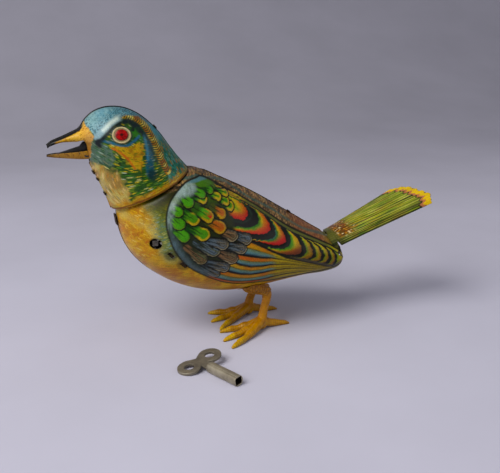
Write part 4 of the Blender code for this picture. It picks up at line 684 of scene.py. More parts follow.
# %% Wing print
def wing_print(page, points, depth):
    """Lays the wing's inks on those points that lie inside its outline, with a painted highlight
    along its front top edge; returns the relief.
    """
    cover = smooth(-0.1, 0.35, depth)
    groove = lay_flight(page, points, cover)
    over = points[:, 1] - np.interp(points[:, 0], *zip(*FLIGHT_LINES[0]))
    upper = cover * smooth(-0.25, 0.25, over)
    black = lay_nest(page, points, upper)
    relief = -0.10 * (groove * (1 - upper) + black * upper)
    page.lay("#0c0e0a", cover * smooth(0.75, 0.3, np.abs(over - 0.2)))
    page.lay("#4a4438", cover * smooth(1.6, 0.9, over) * smooth(-0.2, 0.4, over)
             * smooth(6.0, 14.0, points[:, 0]) * 0.8)
    top = smooth(1.7, 1.3, depth) * smooth(-12.0, -8.0, points[:, 0]) * upper
    page.lay("#5c6030", top * smooth(33.0, 30.0, points[:, 0]))
    page.lay("#0e0f0a", smooth(0.42, 0.2, np.abs(depth - 1.6)) * upper
             * smooth(-14.0, -8.0, points[:, 0]))
    under = points[:, 0] - np.interp(points[:, 1], [30.0, 33.0, 47.0, 55.0, 60.0, 68.0],
                                     [-31.0, -29.0, -16.0, -18.0, -19.0, -23.0])
    page.lay("#20260f", cover * smooth(1.2, -1.2, under))
    page.lay("#3f5a14", cover * smooth(1.2, -1.2, under) * smooth(62.0, 68.0, points[:, 1]))
    for number, (root_x, root_z, tip_x, tip_z, width, kind) in enumerate(COVERTS):
        near = np.hypot(points[:, 0] - tip_x, points[:, 1] - tip_z) < 14.0
        spot = points[near]
        wobble = 0.35 * (cloud(spot, 1.3, 3) - 0.5)
        away, share, aside = bean(spot, (root_x, root_z), (tip_x, tip_z), width)
        away = away + wobble
        layer = Print(len(spot), OUTLINE_INK)
        layer.ink = page.ink[near]
        lay_covert(layer, kind, away, share, aside, number + 31.0)
        page.ink[near] += (layer.ink - page.ink[near]) * cover[near][:, None]
        relief[near] = np.where(
            away < 0.1, 0.15 * smooth(0.1, -1.2, away) * smooth(-0.1, 0.5, share), relief[near])
        relief[near] -= 0.10 * smooth(0.4, 0.0, np.abs(away - 0.12)) * smooth(0.0, 0.3, share)
    x, z = points[:, 0], points[:, 1]
    mist = 0.35 + 0.9 * (cloud(points * [1.0, 0.5], 0.8, 11) - 0.2)
    # Painted highlight: a bluish-white band along the wing's lit front top edge.
    front = (smooth(4.2, 0.8, depth) * smooth(-36.0, -41.0, x - 0.45 * (z - 62))
             * smooth(50.0, 62.0, z))
    page.lay("#8fa09a", cover * front * np.clip(mist, 0, 1) * 0.9)
    low = smooth(4.4, 1.2, depth) * smooth(-24.0, -32.0, x) * smooth(56.0, 50.0, z)
    page.lay("#4a5c60", cover * low * np.clip(mist + 0.2, 0, 1) * 0.95)
    # Painted highlight: a pale patch at the top of the wing's front.
    crest_highlight = np.hypot((x + 37.5) / 5.0, (z - 71.0) / 3.2)
    page.lay("#8c9e9a", cover * smooth(1.25, 0.6, crest_highlight) * np.clip(mist + 0.3, 0, 1))
    blue = smooth(1.2, 0.6, np.hypot((x + 31.0) / 6.0, (z - 73.6) / 1.2))
    green = smooth(1.1, 0.6, np.hypot((x + 28.0) / 4.6, (z - 71.6) / 1.5))
    page.lay("#567a86", cover * blue * 0.8)
    page.lay("#47701c", cover * green * 0.95)
    return relief * cover


print("wing ink", sampled(wing_print, -35, 66, np.full(1, 9.0)))

# %% Body ground
SHOULDER = ([-46.0, -31.0, -15.4, -3.3, 9.8, 27.4, 43.0],
            [70.0, 72.5, 66.5, 59.0, 49.8, 40.4, 33.0])
SEAM_BEAD = 0.35


def lay_breast(page, flat):
    """Orange and yellow in small curved scales, paler at the throat, long strokes below."""
    x, z = flat[:, 0], flat[:, 1]
    drift = cloud(flat * [1.0, 0.7], 2.4, 2)
    page.lay(tones(drift, "0.25 #a8741c, 0.5 #b88c28, 0.75 #c7a348"), np.full(len(x), 0.9))
    front = smooth(-46.0, -54.0, x + 3.0 * (cloud(flat, 4.0, 2) - 0.5)) * smooth(33.0, 42.0, z)
    page.strokes(scales(z + 0.35 * x, -x + 0.35 * z, 3.3, 7), "0 #a8580c, 0.5 #bb7a14, 1 #d3a82c",
                 front * 0.8)
    page.strokes(scales(z + 0.5 * x + 1.6, -x + 0.2 * z, 2.3, 9),
                 "0 #a85c10, 0.6 #ccae3c, 1 #d6c678", front * 0.6)
    page.strokes(dashes(x - 0.35 * z, z + 0.35 * x, 3.2, 0.75, 5, fill=0.5),
                 "0 #a8681c, 0.6 #ccae44, 1 #d6ca90", front * 0.7)
    pale = smooth(4.0, 0.0,
                  to_line(flat, [(-62.0, 60.0), (-53.5, 56.0), (-48.8, 48.0), (-45.0, 41.0)]))
    page.lay("#bfae6c", pale * (0.45 + 0.4 * drift) * smooth(36.0, 42.0, z))
    low = smooth(46.0, 34.0, z + 0.15 * (x + 45))
    page.strokes(dashes(x + 0.45 * z, z - 0.30 * x, 4.4, 1.0, 21, fill=0.75),
                 "0 #8f540f, 0.4 #a87a18, 0.75 #c2a03c, 1 #6f6c28", low * 0.75)
    page.lay("#8a5c12", smooth(27.0, 21.0, z) * 0.55)


def lay_flank(page, flat):
    """Grey-green and bluish strokes between the breast and the wing, olive under the rim, and a
    painted shadow of the head's rim across the collar.
    """
    x, z = flat[:, 0], flat[:, 1]
    grey = smooth(-55.5, -49.0, x + 3.0 * (cloud(flat, 3.0, 4) - 0.5) + 0.25 * (z - 55))
    grey = grey * smooth(36.0, 47.0, z)
    page.lay("#8f8c5c", grey * 0.85)
    page.lay("#5c7040", grey * smooth(-51.0, -47.0, x + 0.2 * (z - 50)) * 0.85)
    page.strokes(dashes(x + 0.5 * z, z - 0.5 * x, 2.6, 0.8, 25, fill=0.75),
                 "0 #3a5c2c, 0.4 #6a8a8c, 0.7 #a8a86c, 1 #c9b86c", grey * 0.75)
    olive = smooth(57.0, 65.0, z + 0.5 * (x + 50)) * smooth(-60.0, -52.0, x)
    page.lay("#4f5010", olive * 0.9)
    page.strokes(dashes(x - 0.4 * z, z + 0.4 * x, 2.4, 0.8, 27, fill=0.6),
                 "0 #1f2a10, 0.6 #7a7c30, 1 #5c3f2c", olive * 0.7)
    # Painted shadow: dark green-black under the head's rim, where the head shades the collar.
    page.lay("#1c1c08", smooth(6.5, 1.5, to_rim(flat)) * smooth(-57.0, -47.0, x)
             * smooth(-22.0, -34.0, x) * 0.9)


def lay_back(page, flat, depth):
    """Brown, tan and pinkish flecks over the back, a fine teal line through them."""
    x, z = flat[:, 0], flat[:, 1]
    back = smooth(-0.6, 1.2, z - np.interp(x, *SHOULDER))
    page.lay("#5c4a34", back)
    for size, seed, fill in ((2.0, 31, 0.9), (1.3, 33, 0.75)):
        page.strokes(
            dashes(x + 0.55 * z, z - 0.55 * x, size, 0.45 * size, seed, fill=fill, slim=0.9),
            "0 #1c160e, 0.3 #3f3424, 0.5 #8f7448, 0.75 #b39468, 1 #8c5c44", back * 0.9)
    page.lay("#96563a", back * smooth(10.0, 18.0, x) * smooth(38.0, 32.0, x) * 0.45)
    above = z - np.interp(x, *SHOULDER)
    page.lay("#3c5a54", back * smooth(0.7, 0.3, np.abs(above - 3.2 - 0.6 * np.sin(0.25 * x))) * 0.7)
    page.lay("#14120c", back * smooth(0.6, 0.25, np.abs(above - 0.7)) * 0.9)
    rear = smooth(28.0, 36.0, x) * smooth(0.5, -0.5, depth)
    page.lay("#6f6a1c", rear * 0.75)
    page.strokes(dashes(x, z, 2.4, 0.8, 41), "0 #241c10, 1 #a3862c", rear * 0.7)


def body_print(points, edge):
    """The inks of one half of the body, from the side view and the distance to its seams."""
    flat = points[:, SIDE_VIEW]
    depth = to_outline(flat, WING_OUTLINE)
    page = Print(len(points), "#b07c14")
    lay_breast(page, flat)
    lay_flank(page, flat)
    lay_back(page, flat, depth)
    for place in (KEYHOLE, *SLOTS):
        page.lay("#2c1c10", smooth(3.3, 2.2, np.hypot(*(flat - place).T)) * 0.55)
    relief = wing_print(page, flat, depth)
    # A dark line just outside the wing's outline: partly a printed outline, partly painted shade
    # below the wing's raised edge.
    page.lay("#0e100a", smooth(0.5, 0.2, np.abs(depth + 0.1)) * 0.9)
    page.lay("#14110a", smooth(1.3, 0.8, edge))
    relief = relief + WING_RISE * smooth(0, WING_EDGE, depth)
    below = (NECK_CENTRE[SIDE_VIEW] - flat) @ [-math.sin(NECK_LEAN), math.cos(NECK_LEAN)]
    bead = SEAM_BEAD * smooth(1.3, 0.6, edge) * smooth(2.5, 5.0, below)
    return page.deepened(1.2), relief + bead


def to_rim(flat):
    """Distance to the head's rim, which hides the collar, seen from the side."""
    return to_line(flat, [(-67.4, 63.5), (-49.7, 68.2), (-32.0, 76.6)])


print("ink on the breast", body_print(np.array([[-60.0, -10.0, 55.0]]), np.full(1, 9.0))[0])

# %% [markdown]
# ## Cutting and edging a shell
# Holes are made as a fret saw would leave them: points near an outline are moved onto it and
# the faces inside are dropped. The edge of the sheet shows all round, so each outer skin gets
# a narrow turned-in edge of the sheet's thickness, and a plainer lining of bare tin lies inside.

# %% Shell builder
def opened(points, faces, holes, reach):
    """Moves points onto the outlines of holes and drops the faces inside them. Each hole is a
    signed distance in the side view, and its slope is taken from two points 0.04 mm apart."""
    drop = np.zeros(len(faces), bool)
    for distance in holes:
        flat = points[:, SIDE_VIEW]
        here = distance(flat)
        slope = np.stack([distance(flat + step) - distance(flat - step)
                          for step in 0.02 * np.eye(2)], axis=1) / 0.04
        near = np.abs(here) < reach
        points[np.ix_(near, SIDE_VIEW)] = (flat - here[:, None] * slope)[near]
        drop |= distance(points[:, SIDE_VIEW][faces].mean(axis=1)) > 0
    return faces[~drop]


def round_hole(x, z, radius):
    """How far points of a side view lie inside a round hole."""
    return lambda flat: radius - np.hypot(flat[:, 0] - x, flat[:, 1] - z)


print("a hole of 1 mm takes", round_hole(0, 0, 1.0)(np.zeros((1, 2))), "mm at its middle")


# %% Stored colours and normals
def coloured(mesh, name, ink):
    """Stores a colour for every point of a mesh."""
    layer = mesh.attributes.new(name, "FLOAT_COLOR", "POINT")
    layer.data.foreach_set("color", np.column_stack([ink, np.ones(len(ink))]).ravel())


def valued(mesh, name, values):
    """Stores a number for every point of a mesh."""
    mesh.attributes.new(name, "FLOAT", "POINT").data.foreach_set("value", values)


def normals_of(points):
    """Unit normals of a grid of points, from its two directions."""
    down = np.gradient(points, axis=0)
    over = np.gradient(points, axis=1)
    normal = np.cross(down, over)
    return normal / np.maximum(np.linalg.norm(normal, axis=-1, keepdims=True), 1e-9)


def facing_out(normal, side):
    """Normals turned so that most of them point to the shell's own side."""
    return normal * (side if normal[..., 1].mean() > 0 else -side)


patch = skin(BODY, *np.meshgrid([5.0, 6.0], [1.4, 1.6]), -1)
print("normal at the breast", facing_out(normals_of(patch), -1)[0, 0].round(2))


# %% Shell and lining
# Rows and columns of the skin and of the lining.
BODY_GRIDS = (400, 232), (110, 50)
HEAD_GRIDS = (300, 190), (90, 44)


def skin_grid(rows, side, size, edge):
    """A skin's points, its outward normals and the shares across it, on a grid of this size."""
    at, share = np.meshgrid(evened(rows, size[0]), np.linspace(0, 1, size[1]), indexing="ij")
    points = skin(rows, at, share * edge(at), side)
    return points, facing_out(normals_of(points), side), share


def wound(faces, points, normal, outwards):
    """Faces run round the way that looks along the normals, or against them."""
    way = np.cross(points[5, 6] - points[5, 5], points[6, 5] - points[5, 5]) @ normal[5, 5]
    return faces[:, ::-1] if (way > 0) == outwards else faces


def walled(made, thickness, **settings):
    """Gives a sheet its thickness in millimetres, inwards from the surface that was drawn."""
    wall = made.modifiers.new("wall", "SOLIDIFY")
    wall.thickness = thickness * MM
    wall.offset = -1.0
    for key, value in settings.items():
        setattr(wall, key, value)


def shell(name, rows, side, size, inks, holes, edge):
    """A printed skin with a turned-in edge, as one object. Its points lie 0.3 mm apart."""
    points, normal, share = skin_grid(rows, side, size, edge)
    from_seam = np.minimum(share, 1 - share).ravel() * size[1] * 0.3
    flat = points.reshape(-1, 3)
    ink, relief = inks(flat, from_seam)
    lifted = flat + normal.reshape(-1, 3) * relief[:, None]
    faces = opened(lifted, grid_faces(*size), holes, 0.22)
    made = new_object(name, placed(lifted), wound(faces, points, normal, True))
    coloured(made.data, "print", ink)
    valued(made.data, "edge", from_seam)
    walled(made, SHEET, use_rim_only=True, material_offset_rim=1)
    return made


def lining(name, rows, side, size, holes, lift, edge):
    """The inside of a shell: the same skin a sheet's thickness further in, facing inwards."""
    points, normal, _ = skin_grid(rows, side, size, edge)
    flat = points.reshape(-1, 3)
    moved = flat + normal.reshape(-1, 3) * (lift(flat) - SHEET)[:, None]
    faces = opened(moved, grid_faces(*size), holes, 0.5)
    return new_object(name, placed(moved), wound(faces, points, normal, False))


print("points of skin and lining", np.prod(BODY_GRIDS, axis=1), np.prod(HEAD_GRIDS, axis=1))

# %% [markdown]
# ## Printed tin, bare tin and the metals
# The print is a thin glossy film on bright tin. Its colour comes from the ink stored on the
# points; nodes add what is finer than the points: the stone's grain, faint stains, and chips
# down to the metal along edges and seams. Sizes of patterns are worked out from millimetres.

# %% Finishes
def per(millimetres):
    """A texture's scale for a feature of this size, on Object coordinates in metres."""
    return 1.0 / (millimetres * MM)


def printed_tin():
    """Ink and varnish on tinplate: even gloss over fine grain, dull grey where it has chipped."""
    made, tree, shader, place = material("lithographed_tinplate", coat_weight=0.06,
                                         coat_roughness=0.15, specular_ior_level=0.15)
    ink = add(tree, "Attribute", {"attribute_name": "print"}).outputs["Color"]
    edge = add(tree, "Attribute", {"attribute_name": "edge"}).outputs["Fac"]
    grain = add(tree, "TexNoise", vector=place, scale=per(0.45), detail=2.0).outputs["Fac"]
    stain = add(tree, "TexNoise", vector=place, scale=per(7.0), detail=5.0).outputs["Fac"]
    flaw = add(tree, "TexNoise", vector=place, scale=per(1.1), detail=6.0, roughness=0.7)
    specks = add(tree, "ValToRGB", stops=[(0.3, 0.16), (0.7, 0.60)], i0=grain)
    toned = add(tree, "Mix", {"data_type": "RGBA", "blend_type": "OVERLAY"},
                i0=0.45, i6=ink, i7=specks.outputs[0])
    yellowed = add(tree, "ValToRGB", stops="0.35 #cdbd96, 0.6 #ffffff", i0=stain)
    aged = add(tree, "Mix", {"data_type": "RGBA", "blend_type": "MULTIPLY"},
               i0=0.35, i6=toned.outputs[2], i7=yellowed.outputs[0])
    near = add(tree, "MapRange", value=edge, from_max=1.6, to_min=0.16, to_max=0.0)
    worn = add(tree, "Math", {"operation": "ADD"}, i0=flaw.outputs["Fac"], i1=near.outputs[0])
    chip = add(tree, "ValToRGB", stops=[(0.715, 0.0), (0.735, 1.0)],
               i0=worn.outputs[0]).outputs[0]
    metal = add(tree, "ValToRGB", stops="0.35 #3a2c20, 0.65 #7d7468", i0=grain)
    mixed = add(tree, "Mix", {"data_type": "RGBA"},
                i0=chip, i6=aged.outputs[2], i7=metal.outputs[0])
    shine = add(tree, "Math", {"operation": "MULTIPLY"}, i0=chip, i1=0.7)
    rough = add(tree, "ValToRGB", stops=[(0.3, 0.30), (0.7, 0.44)], i0=stain)
    bump = add(tree, "Bump", strength=0.12, distance=0.00003, height=grain)
    feed(shader, base_color=mixed.outputs[2], metallic=shine.outputs[0],
         roughness=rough.outputs[0], normal=bump.outputs[0])
    return made


def plain_metal(name, dark, light, rough, patch, metallic=1.0, bump=0.15):
    """A metal whose tone and gloss drift in patches of the given size, with a fine grain."""
    made, tree, shader, place = material(name, metallic=metallic)
    drift = add(tree, "TexNoise", vector=place, scale=per(patch), detail=6.0,
                roughness=0.6).outputs["Fac"]
    grain = add(tree, "TexNoise", vector=place, scale=per(0.25), detail=2.0).outputs["Fac"]
    tone = add(tree, "ValToRGB", stops=f"0.35 {dark}, 0.62 {light}", i0=drift)
    gloss = add(tree, "ValToRGB", stops=[(0.3, rough + 0.14), (0.7, rough - 0.06)], i0=drift)
    relief = add(tree, "Bump", strength=bump, distance=0.00004, height=grain)
    feed(shader, base_color=tone.outputs[0], roughness=gloss.outputs[0],
         normal=relief.outputs[0])
    return made


def moulded_plastic():
    """Glossy coloured plastic with light sinking a little way in and grime in its flow marks."""
    made, tree, shader, place = material(
        "moulded_yellow_plastic", roughness=0.3, subsurface_weight=0.1, subsurface_scale=0.0012,
        specular_ior_level=0.25)
    ink = add(tree, "Attribute", {"attribute_name": "print"}).outputs["Color"]
    flow = add(tree, "TexNoise", vector=place, scale=per(2.4), detail=5.0).outputs["Fac"]
    fine = add(tree, "TexNoise", vector=place, scale=per(0.6), detail=3.0).outputs["Fac"]
    grime = add(tree, "ValToRGB", stops="0.35 #b89a5c, 0.62 #ffffff", i0=flow)
    mixed = add(tree, "Mix", {"data_type": "RGBA", "blend_type": "MULTIPLY"},
                i0=0.5, i6=ink, i7=grime.outputs[0])
    rough = add(tree, "ValToRGB", stops=[(0.3, 0.42), (0.7, 0.26)], i0=flow)
    bump = add(tree, "Bump", strength=0.2, distance=0.00006, height=fine)
    feed(shader, base_color=mixed.outputs[2], roughness=rough.outputs[0], normal=bump.outputs[0])
    return made


print("noise scale for a patch of 1 mm", per(1.0))

# %% Metals and the solids they finish
LITHOGRAPH = printed_tin()
BARE_TIN = plain_metal("aged_tinplate", "#6f6a60", "#a19c90", 0.46, 5.0)
CUT_EDGE = plain_metal("cut_tin_edge", "#15100b", "#3a3024", 0.7, 1.2)
STEEL = plain_metal("dulled_steel", "#4d4943", "#837d72", 0.44, 2.5)
BRASS = plain_metal("rolled_brass", "#8a6a2c", "#c9a85a", 0.36, 4.0)
BLUED = plain_metal("blued_spring_steel", "#23272f", "#474d59", 0.3, 3.0)
TARNISHED = plain_metal("tarnished_tin", "#1c140e", "#4f4030", 0.55, 1.2)
ZINC = plain_metal("cast_zinc", "#5d6063", "#85888a", 0.6, 1.5, bump=0.5)
HIDE = plain_metal("bellows_kid_leather", "#5d3f26", "#8a6440", 0.8, 1.8, metallic=0.0, bump=0.6)
ENAMEL = plain_metal("black_enamel", "#100e0c", "#1e1a16", 0.4, 1.5, metallic=0.0)
WORN_NICKEL = plain_metal("worn_nickel_plate", "#857c6a", "#a69d88", 0.5, 5.0, metallic=0.6)
DULLED_NICKEL = plain_metal("dulled_nickel_plate", "#6a6254", "#8c8472", 0.55, 5.0, metallic=0.6)
PLASTIC = moulded_plastic()
NODE_FINISHES = [
    (BARE_TIN, "neck_disc head_bracket leg_washer_left leg_washer_right rocker_lever"
     " whistle_tube bellows_board"),
    (BRASS, "neck_spindle spindle_collar great_wheel second_wheel eccentric_wheel governor_fly"
     " whistle_piston"),
    (BLUED, "mainspring click_spring"), (ZINC, "bellows_base"), (HIDE, "bellows_leather"),
    (TARNISHED, "frame_plate_left frame_plate_right")]
given = {node: finish for finish, nodes in NODE_FINISHES for node in nodes.split()}
for name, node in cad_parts.items():
    for slot in node.material_slots:
        slot.material = given.get(name, STEEL)
print("finishes on", len(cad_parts), "solids")


# %% Body shells
TAIL_PIN = (37.0, 34.5)
TAIL_PITCH = math.radians(23.4)
PIN_HOLE = 0.9
GATE_CORNERS = [
    (-1.4, 10.4), (-0.9, 7.4), (-1.2, 4.2), (-0.2, 2.6), (1.1, -0.4), (2.8, -0.4), (3.4, 1.3),
    (30.0, 1.3), (30.0, 30.0)]


def on_tail(along, up, y):
    """Points from distance along the tail, height over its pin and y."""
    x = TAIL_PIN[0] + along * math.cos(TAIL_PITCH) - up * math.sin(TAIL_PITCH)
    z = TAIL_PIN[1] + along * math.sin(TAIL_PITCH) + up * math.cos(TAIL_PITCH)
    return np.stack([x, y, z], axis=-1)


GATE = [on_tail(along, up, 0.0)[SIDE_VIEW] for along, up in GATE_CORNERS]


def bar_outline(centre, length, width, turn):
    """Corners of a bar about a centre, turned by an angle."""
    half = np.array([[-1, -1], [1, -1], [1, 1], [-1, 1]]) * [length / 2, width / 2]
    way = np.array([[math.cos(turn), math.sin(turn)], [-math.sin(turn), math.cos(turn)]])
    return half @ way + centre


SLOT_TURN = math.atan2(SLOTS[0][1] - SLOTS[1][1], SLOTS[0][0] - SLOTS[1][0])


def body_holes(side):
    """The tail's opening and pin, and on the left the keyhole and the lugs' slots too."""
    holes = [lambda flat: to_outline(flat, GATE), round_hole(*TAIL_PIN, PIN_HOLE)]
    if side < 0:
        holes.append(round_hole(*KEYHOLE, KEYHOLE_RADIUS))
        for place in SLOTS:
            corners = bar_outline(place, 3.2, 1.4, SLOT_TURN)
            holes.append(lambda flat, corners=corners: to_outline(flat, corners))
    return holes


def wing_lift(points):
    """How far the pressed wing stands above the body at each point."""
    return WING_RISE * smooth(0, WING_EDGE, to_outline(points[:, SIDE_VIEW], WING_OUTLINE))


def seated(made, body, node, slot, *finishes):
    """Gives a piece its finishes and body, and hides the solid that it stands for; the slot is not
    used.
    """
    for finish in finishes:
        made.data.materials.append(finish)
    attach(made, body)
    if node:
        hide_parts(node)
    print(made.name, len(made.data.polygons), "faces")


def halves(part, rows, grids, inks, holes, lift, edge):
    """Both half shells of a part, each a printed skin outside and a bare lining inside."""
    outer, inner = grids
    for side, hand in ((-1, "left"), (1, "right")):
        node = part + "_" + hand + "_shell"
        made = shell(part + "_skin_" + hand, rows, side, outer, inks, holes(side), edge)
        seated(made, part, node, "lithographed_tin", LITHOGRAPH, CUT_EDGE)
        made = lining(part + "_lining_" + hand, rows, side, inner, holes(side), lift, edge)
        seated(made, part, node, "bare_tin", BARE_TIN)


print("holes on the left", len(body_holes(-1)), "and on the right", len(body_holes(1)))

# %% Body pieces
halves("body", BODY, BODY_GRIDS, body_print, body_holes, wing_lift, lambda at: math.pi)

# %% [markdown]
# ## The head's print
# The head is a blue stippled crown, lighter to the front partly as painted highlight, a pale
# streak that is partly painted highlight, and a dark mask round a red glass-like eye, a yellow
# cheek crossed by a blue stripe, green and yellow strokes on the neck, and a yellow beak with a
# black ridge. Each band is an open line on the side view with its own width.

# %% Head outlines
def near_line(flat, line, width, soft=0.35):
    """Cover of a brush line: full within its half width, fading over a soft edge."""
    return smooth(width + soft, width - soft, to_line(flat, line))


def run_along(points, line):
    """Length along an open line to the place on it that is nearest to each point."""
    best, run, done = np.full(len(points), 1e9), np.zeros(len(points)), 0.0
    for start, end in zip(np.array(line[:-1]), np.array(line[1:])):
        step = end - start
        share = np.clip((points - start) @ step / (step @ step), 0, 1)
        off = np.linalg.norm(points - start - share[:, None] * step, axis=1)
        run = np.where(off < best, done + share * np.linalg.norm(step), run)
        best = np.minimum(best, off)
        done += np.linalg.norm(step)
    return run


EYE = np.array([-62.3, 14.65, 94.3])
RIM_LINE = [(-67.6, 61.3), (-57.4, 66.4), (-49.7, 69.6), (-42.4, 72.9), (-32.5, 77.4)]
STREAK_AND_HIGHLIGHT = [(-72.1, 93.3), (-69.3, 96.1), (-66.4, 98.8), (-63.4, 100.5), (-60.8, 101.2)]
MASK = [(-71.5, 91.2), (-69.5, 93.6), (-67.4, 95.9), (-64.9, 98.0), (-62.4, 99.3), (-58.9, 99.4),
        (-56.2, 97.8), (-54.3, 95.3)]
DASH_ARC = [(-61.0, 102.0), (-56.1, 100.7), (-53.2, 98.8), (-51.1, 96.0), (-49.8, 93.3),
            (-48.4, 90.1), (-47.5, 87.3), (-46.2, 83.1), (-44.0, 78.6)]
INNER_ARC = [(-58.7, 100.4), (-54.8, 98.0), (-52.6, 94.7), (-51.3, 91.2), (-49.9, 86.8),
             (-48.2, 82.0)]
NAPE_SIDE = DASH_ARC + [(-42.0, 60.0), (-20.0, 60.0), (-20.0, 110.0), (-61.0, 110.0)]
STRIPE = [(-51.8, 93.0), (-51.4, 89.3), (-51.3, 85.4), (-51.7, 81.4), (-51.5, 78.7)]
STRIPE_LIGHT = [(-52.6, 92.4), (-52.2, 88.0), (-52.2, 84.0)]
CHEEK_EDGE = [(-66.5, 89.2), (-63.5, 87.6), (-60.5, 84.8), (-57.8, 80.6)]
UNDER_EYE = [(-70.4, 92.2), (-68.4, 91.7), (-66.3, 91.3), (-63.2, 90.2), (-60.2, 90.2),
             (-57.6, 91.6),
             (-55.2, 93.4)]
THROAT = [(-80.0, 84.4), (-74.6, 83.0), (-69.7, 80.6), (-64.6, 78.5), (-61.6, 73.4), (-61.0, 69.1),
          (-59.5, 60.0), (-75.0, 55.0), (-85.0, 75.0)]
LORES = [(-74.5, 91.5), (-72.6, 92.6), (-69.0, 89.8), (-66.2, 88.2), (-64.6, 84.4), (-67.0, 81.6),
         (-71.0, 81.8), (-76.0, 83.0)]
BEAK_SIDE = [(-76.4, 99.0), (-74.9, 96.7), (-72.9, 93.2), (-74.0, 90.7), (-74.6, 84.0),
             (-75.8, 82.0), (-100.0, 80.0), (-100.0, 100.0)]
CULMEN = ([-91.7, -89.5, -85.7, -81.3, -78.1, -75.3], [89.4, 91.0, 92.5, 94.4, 96.1, 99.9])
CHEEK = [(-67.0, 90.8), (-63.2, 89.6), (-59.3, 90.0), (-55.4, 90.9), (-53.7, 88.0), (-54.2, 83.4),
         (-55.4, 79.0), (-58.6, 81.0), (-61.4, 84.6), (-64.9, 87.8)]
print("head outlines", len(NAPE_SIDE), len(THROAT), len(LORES), len(BEAK_SIDE), len(CHEEK))


# %% Neck and throat
def lay_neck(page, flat, along, across):
    """Dense strokes, dark green first and then brighter, over a green ground."""
    page.lay("#2c4a20", np.ones(len(flat)))
    for number, (fill, stops) in enumerate((
            (0.95, "0 #0c1c0c, 0.5 #1f4416, 1 #3a5c24"),
            (0.55, "0 #3f7a24, 0.5 #7a8a2c, 1 #2c6a4c"),
            (0.30, "0 #b39a2c, 0.6 #c9b456, 1 #a9b9a4"))):
        page.strokes(dashes(along + number, across + 0.4 * number, 3.4, 0.66, 3 + number,
                            fill=fill), stops, 0.92)


def lay_throat(page, flat, along, across):
    """Cream and orange below the beak, blue-grey at its root, mottled with short strokes."""
    throat = smooth(-1.2, 1.2, to_outline(flat, THROAT) + 2.6 * (cloud(flat, 1.8, 8) - 0.5))
    drift = cloud(flat * [1.0, 0.6], 2.2, 10)
    page.lay(tones(drift, "0.25 #967c4a, 0.5 #a89258, 0.75 #b8a96a"), throat)
    for number, (fill, stops) in enumerate((
            (0.6, "0 #945e2c, 0.5 #bd934a, 1 #7f7a60"),
            (0.4, "0 #dccb94, 0.6 #b8843e, 1 #5c6a38"))):
        page.strokes(dashes(across, along, 2.6, 0.8, 13 + number, fill=fill), stops,
                     throat * 0.8)
    lores = smooth(-0.8, 0.8, to_outline(flat, LORES) + 1.6 * (cloud(flat, 1.2, 12) - 0.5))
    page.lay("#4f6458", lores * 0.85)
    page.strokes(dashes(along, across, 2.6, 0.7, 15, fill=0.75),
                 "0 #17331c, 0.45 #2f5c2c, 0.7 #8c9c8c, 1 #4a6f7a", lores * 0.85)


print("neck ink", sampled(lay_neck, -50, 75, FULL, FULL), "throat ink",
      sampled(lay_throat, -68, 75, FULL, FULL))


# %% Cheek and nape
def lay_cheek(page, flat, along, across):
    """The yellow cheek with its orange edge, the green patch and the blue stripes round it."""
    cheek = smooth(-0.6, 0.7, to_outline(flat, CHEEK) + 2.0 * (cloud(flat, 1.2, 6) - 0.5))
    page.lay(tones(cloud(flat, 1.6, 7), "0.3 #8f6a10, 0.6 #b08f18"), cheek)
    page.strokes(dashes(along, across, 3.0, 0.7, 17, fill=0.6),
                 "0 #94481a, 0.35 #c4a42c, 0.7 #7a7c1c, 1 #2f5418", cheek * 0.8)
    page.lay("#b0561a", near_line(flat, CHEEK_EDGE, 0.35, 0.3) * 0.8)
    patch = smooth(4.2, 2.2, np.hypot(flat[:, 0] + 55.6, (flat[:, 1] - 95.2) / 1.1))
    page.lay("#2f6420", patch)
    page.lay("#0f2414", patch * smooth(0.5, 0.7, cloud(flat, 1.3, 9)))
    blot = 0.5 + 0.5 * cloud(flat, 0.8, 12)
    page.lay("#1f506c", near_line(flat, STRIPE, 1.7, 0.7) * blot)
    page.lay("#4a86a0", near_line(flat, STRIPE_LIGHT, 0.5, 0.4) * 0.6)
    page.lay("#122c30", smooth(3.2, 1.2, np.hypot(flat[:, 0] + 50.8, flat[:, 1] - 77.6)) * 0.85)
    page.lay("#2c5f7c", near_line(flat, UNDER_EYE, 0.5, 0.4) * (0.35 + 0.65 * blot))


def lay_nape(page, flat):
    """Blue over the nape, green and orange strokes lower down, and the dashed arc before it."""
    x, z = flat[:, 0], flat[:, 1]
    nape = smooth(-0.6, 0.6, to_outline(flat, NAPE_SIDE))
    page.lay("#4a8590", nape)
    lower = nape * smooth(95.0, 87.0, z + 2.0 * (cloud(flat, 2.0, 22) - 0.5))
    page.lay("#2f5c44", lower * 0.85)
    for number, fill in enumerate((0.9, 0.7, 0.5)):
        page.strokes(dashes(z - 0.5 * x + number, x + 0.5 * z, 2.4, 0.7, 23 + number, fill=fill),
                     "0 #143c28, 0.3 #2f7a5c, 0.55 #4a96a0, 0.8 #8a8a34, 1 #b0602a", lower * 0.85)
    page.lay("#17302c", near_line(flat, INNER_ARC, 0.6, 0.6) * (0.4 + 0.5 * cloud(flat, 0.8, 24)))
    arc = near_line(flat, DASH_ARC, 1.45, 0.5)
    page.lay("#2f3418", arc * 0.9)
    away = to_line(flat, DASH_ARC)
    stroke = smooth(0.16, 0.34, np.abs((run_along(flat, DASH_ARC) + 0.5 * away) / 0.95 % 1 - 0.5))
    page.lay(tones(cloud(flat, 1.5, 28), "0.2 #9a5c20, 0.5 #bd9438, 0.8 #d9c878"),
             stroke * arc * 0.9)


print("cheek ink", sampled(lay_cheek, -60, 86, FULL, FULL), "nape ink", sampled(lay_nape, -44, 92))


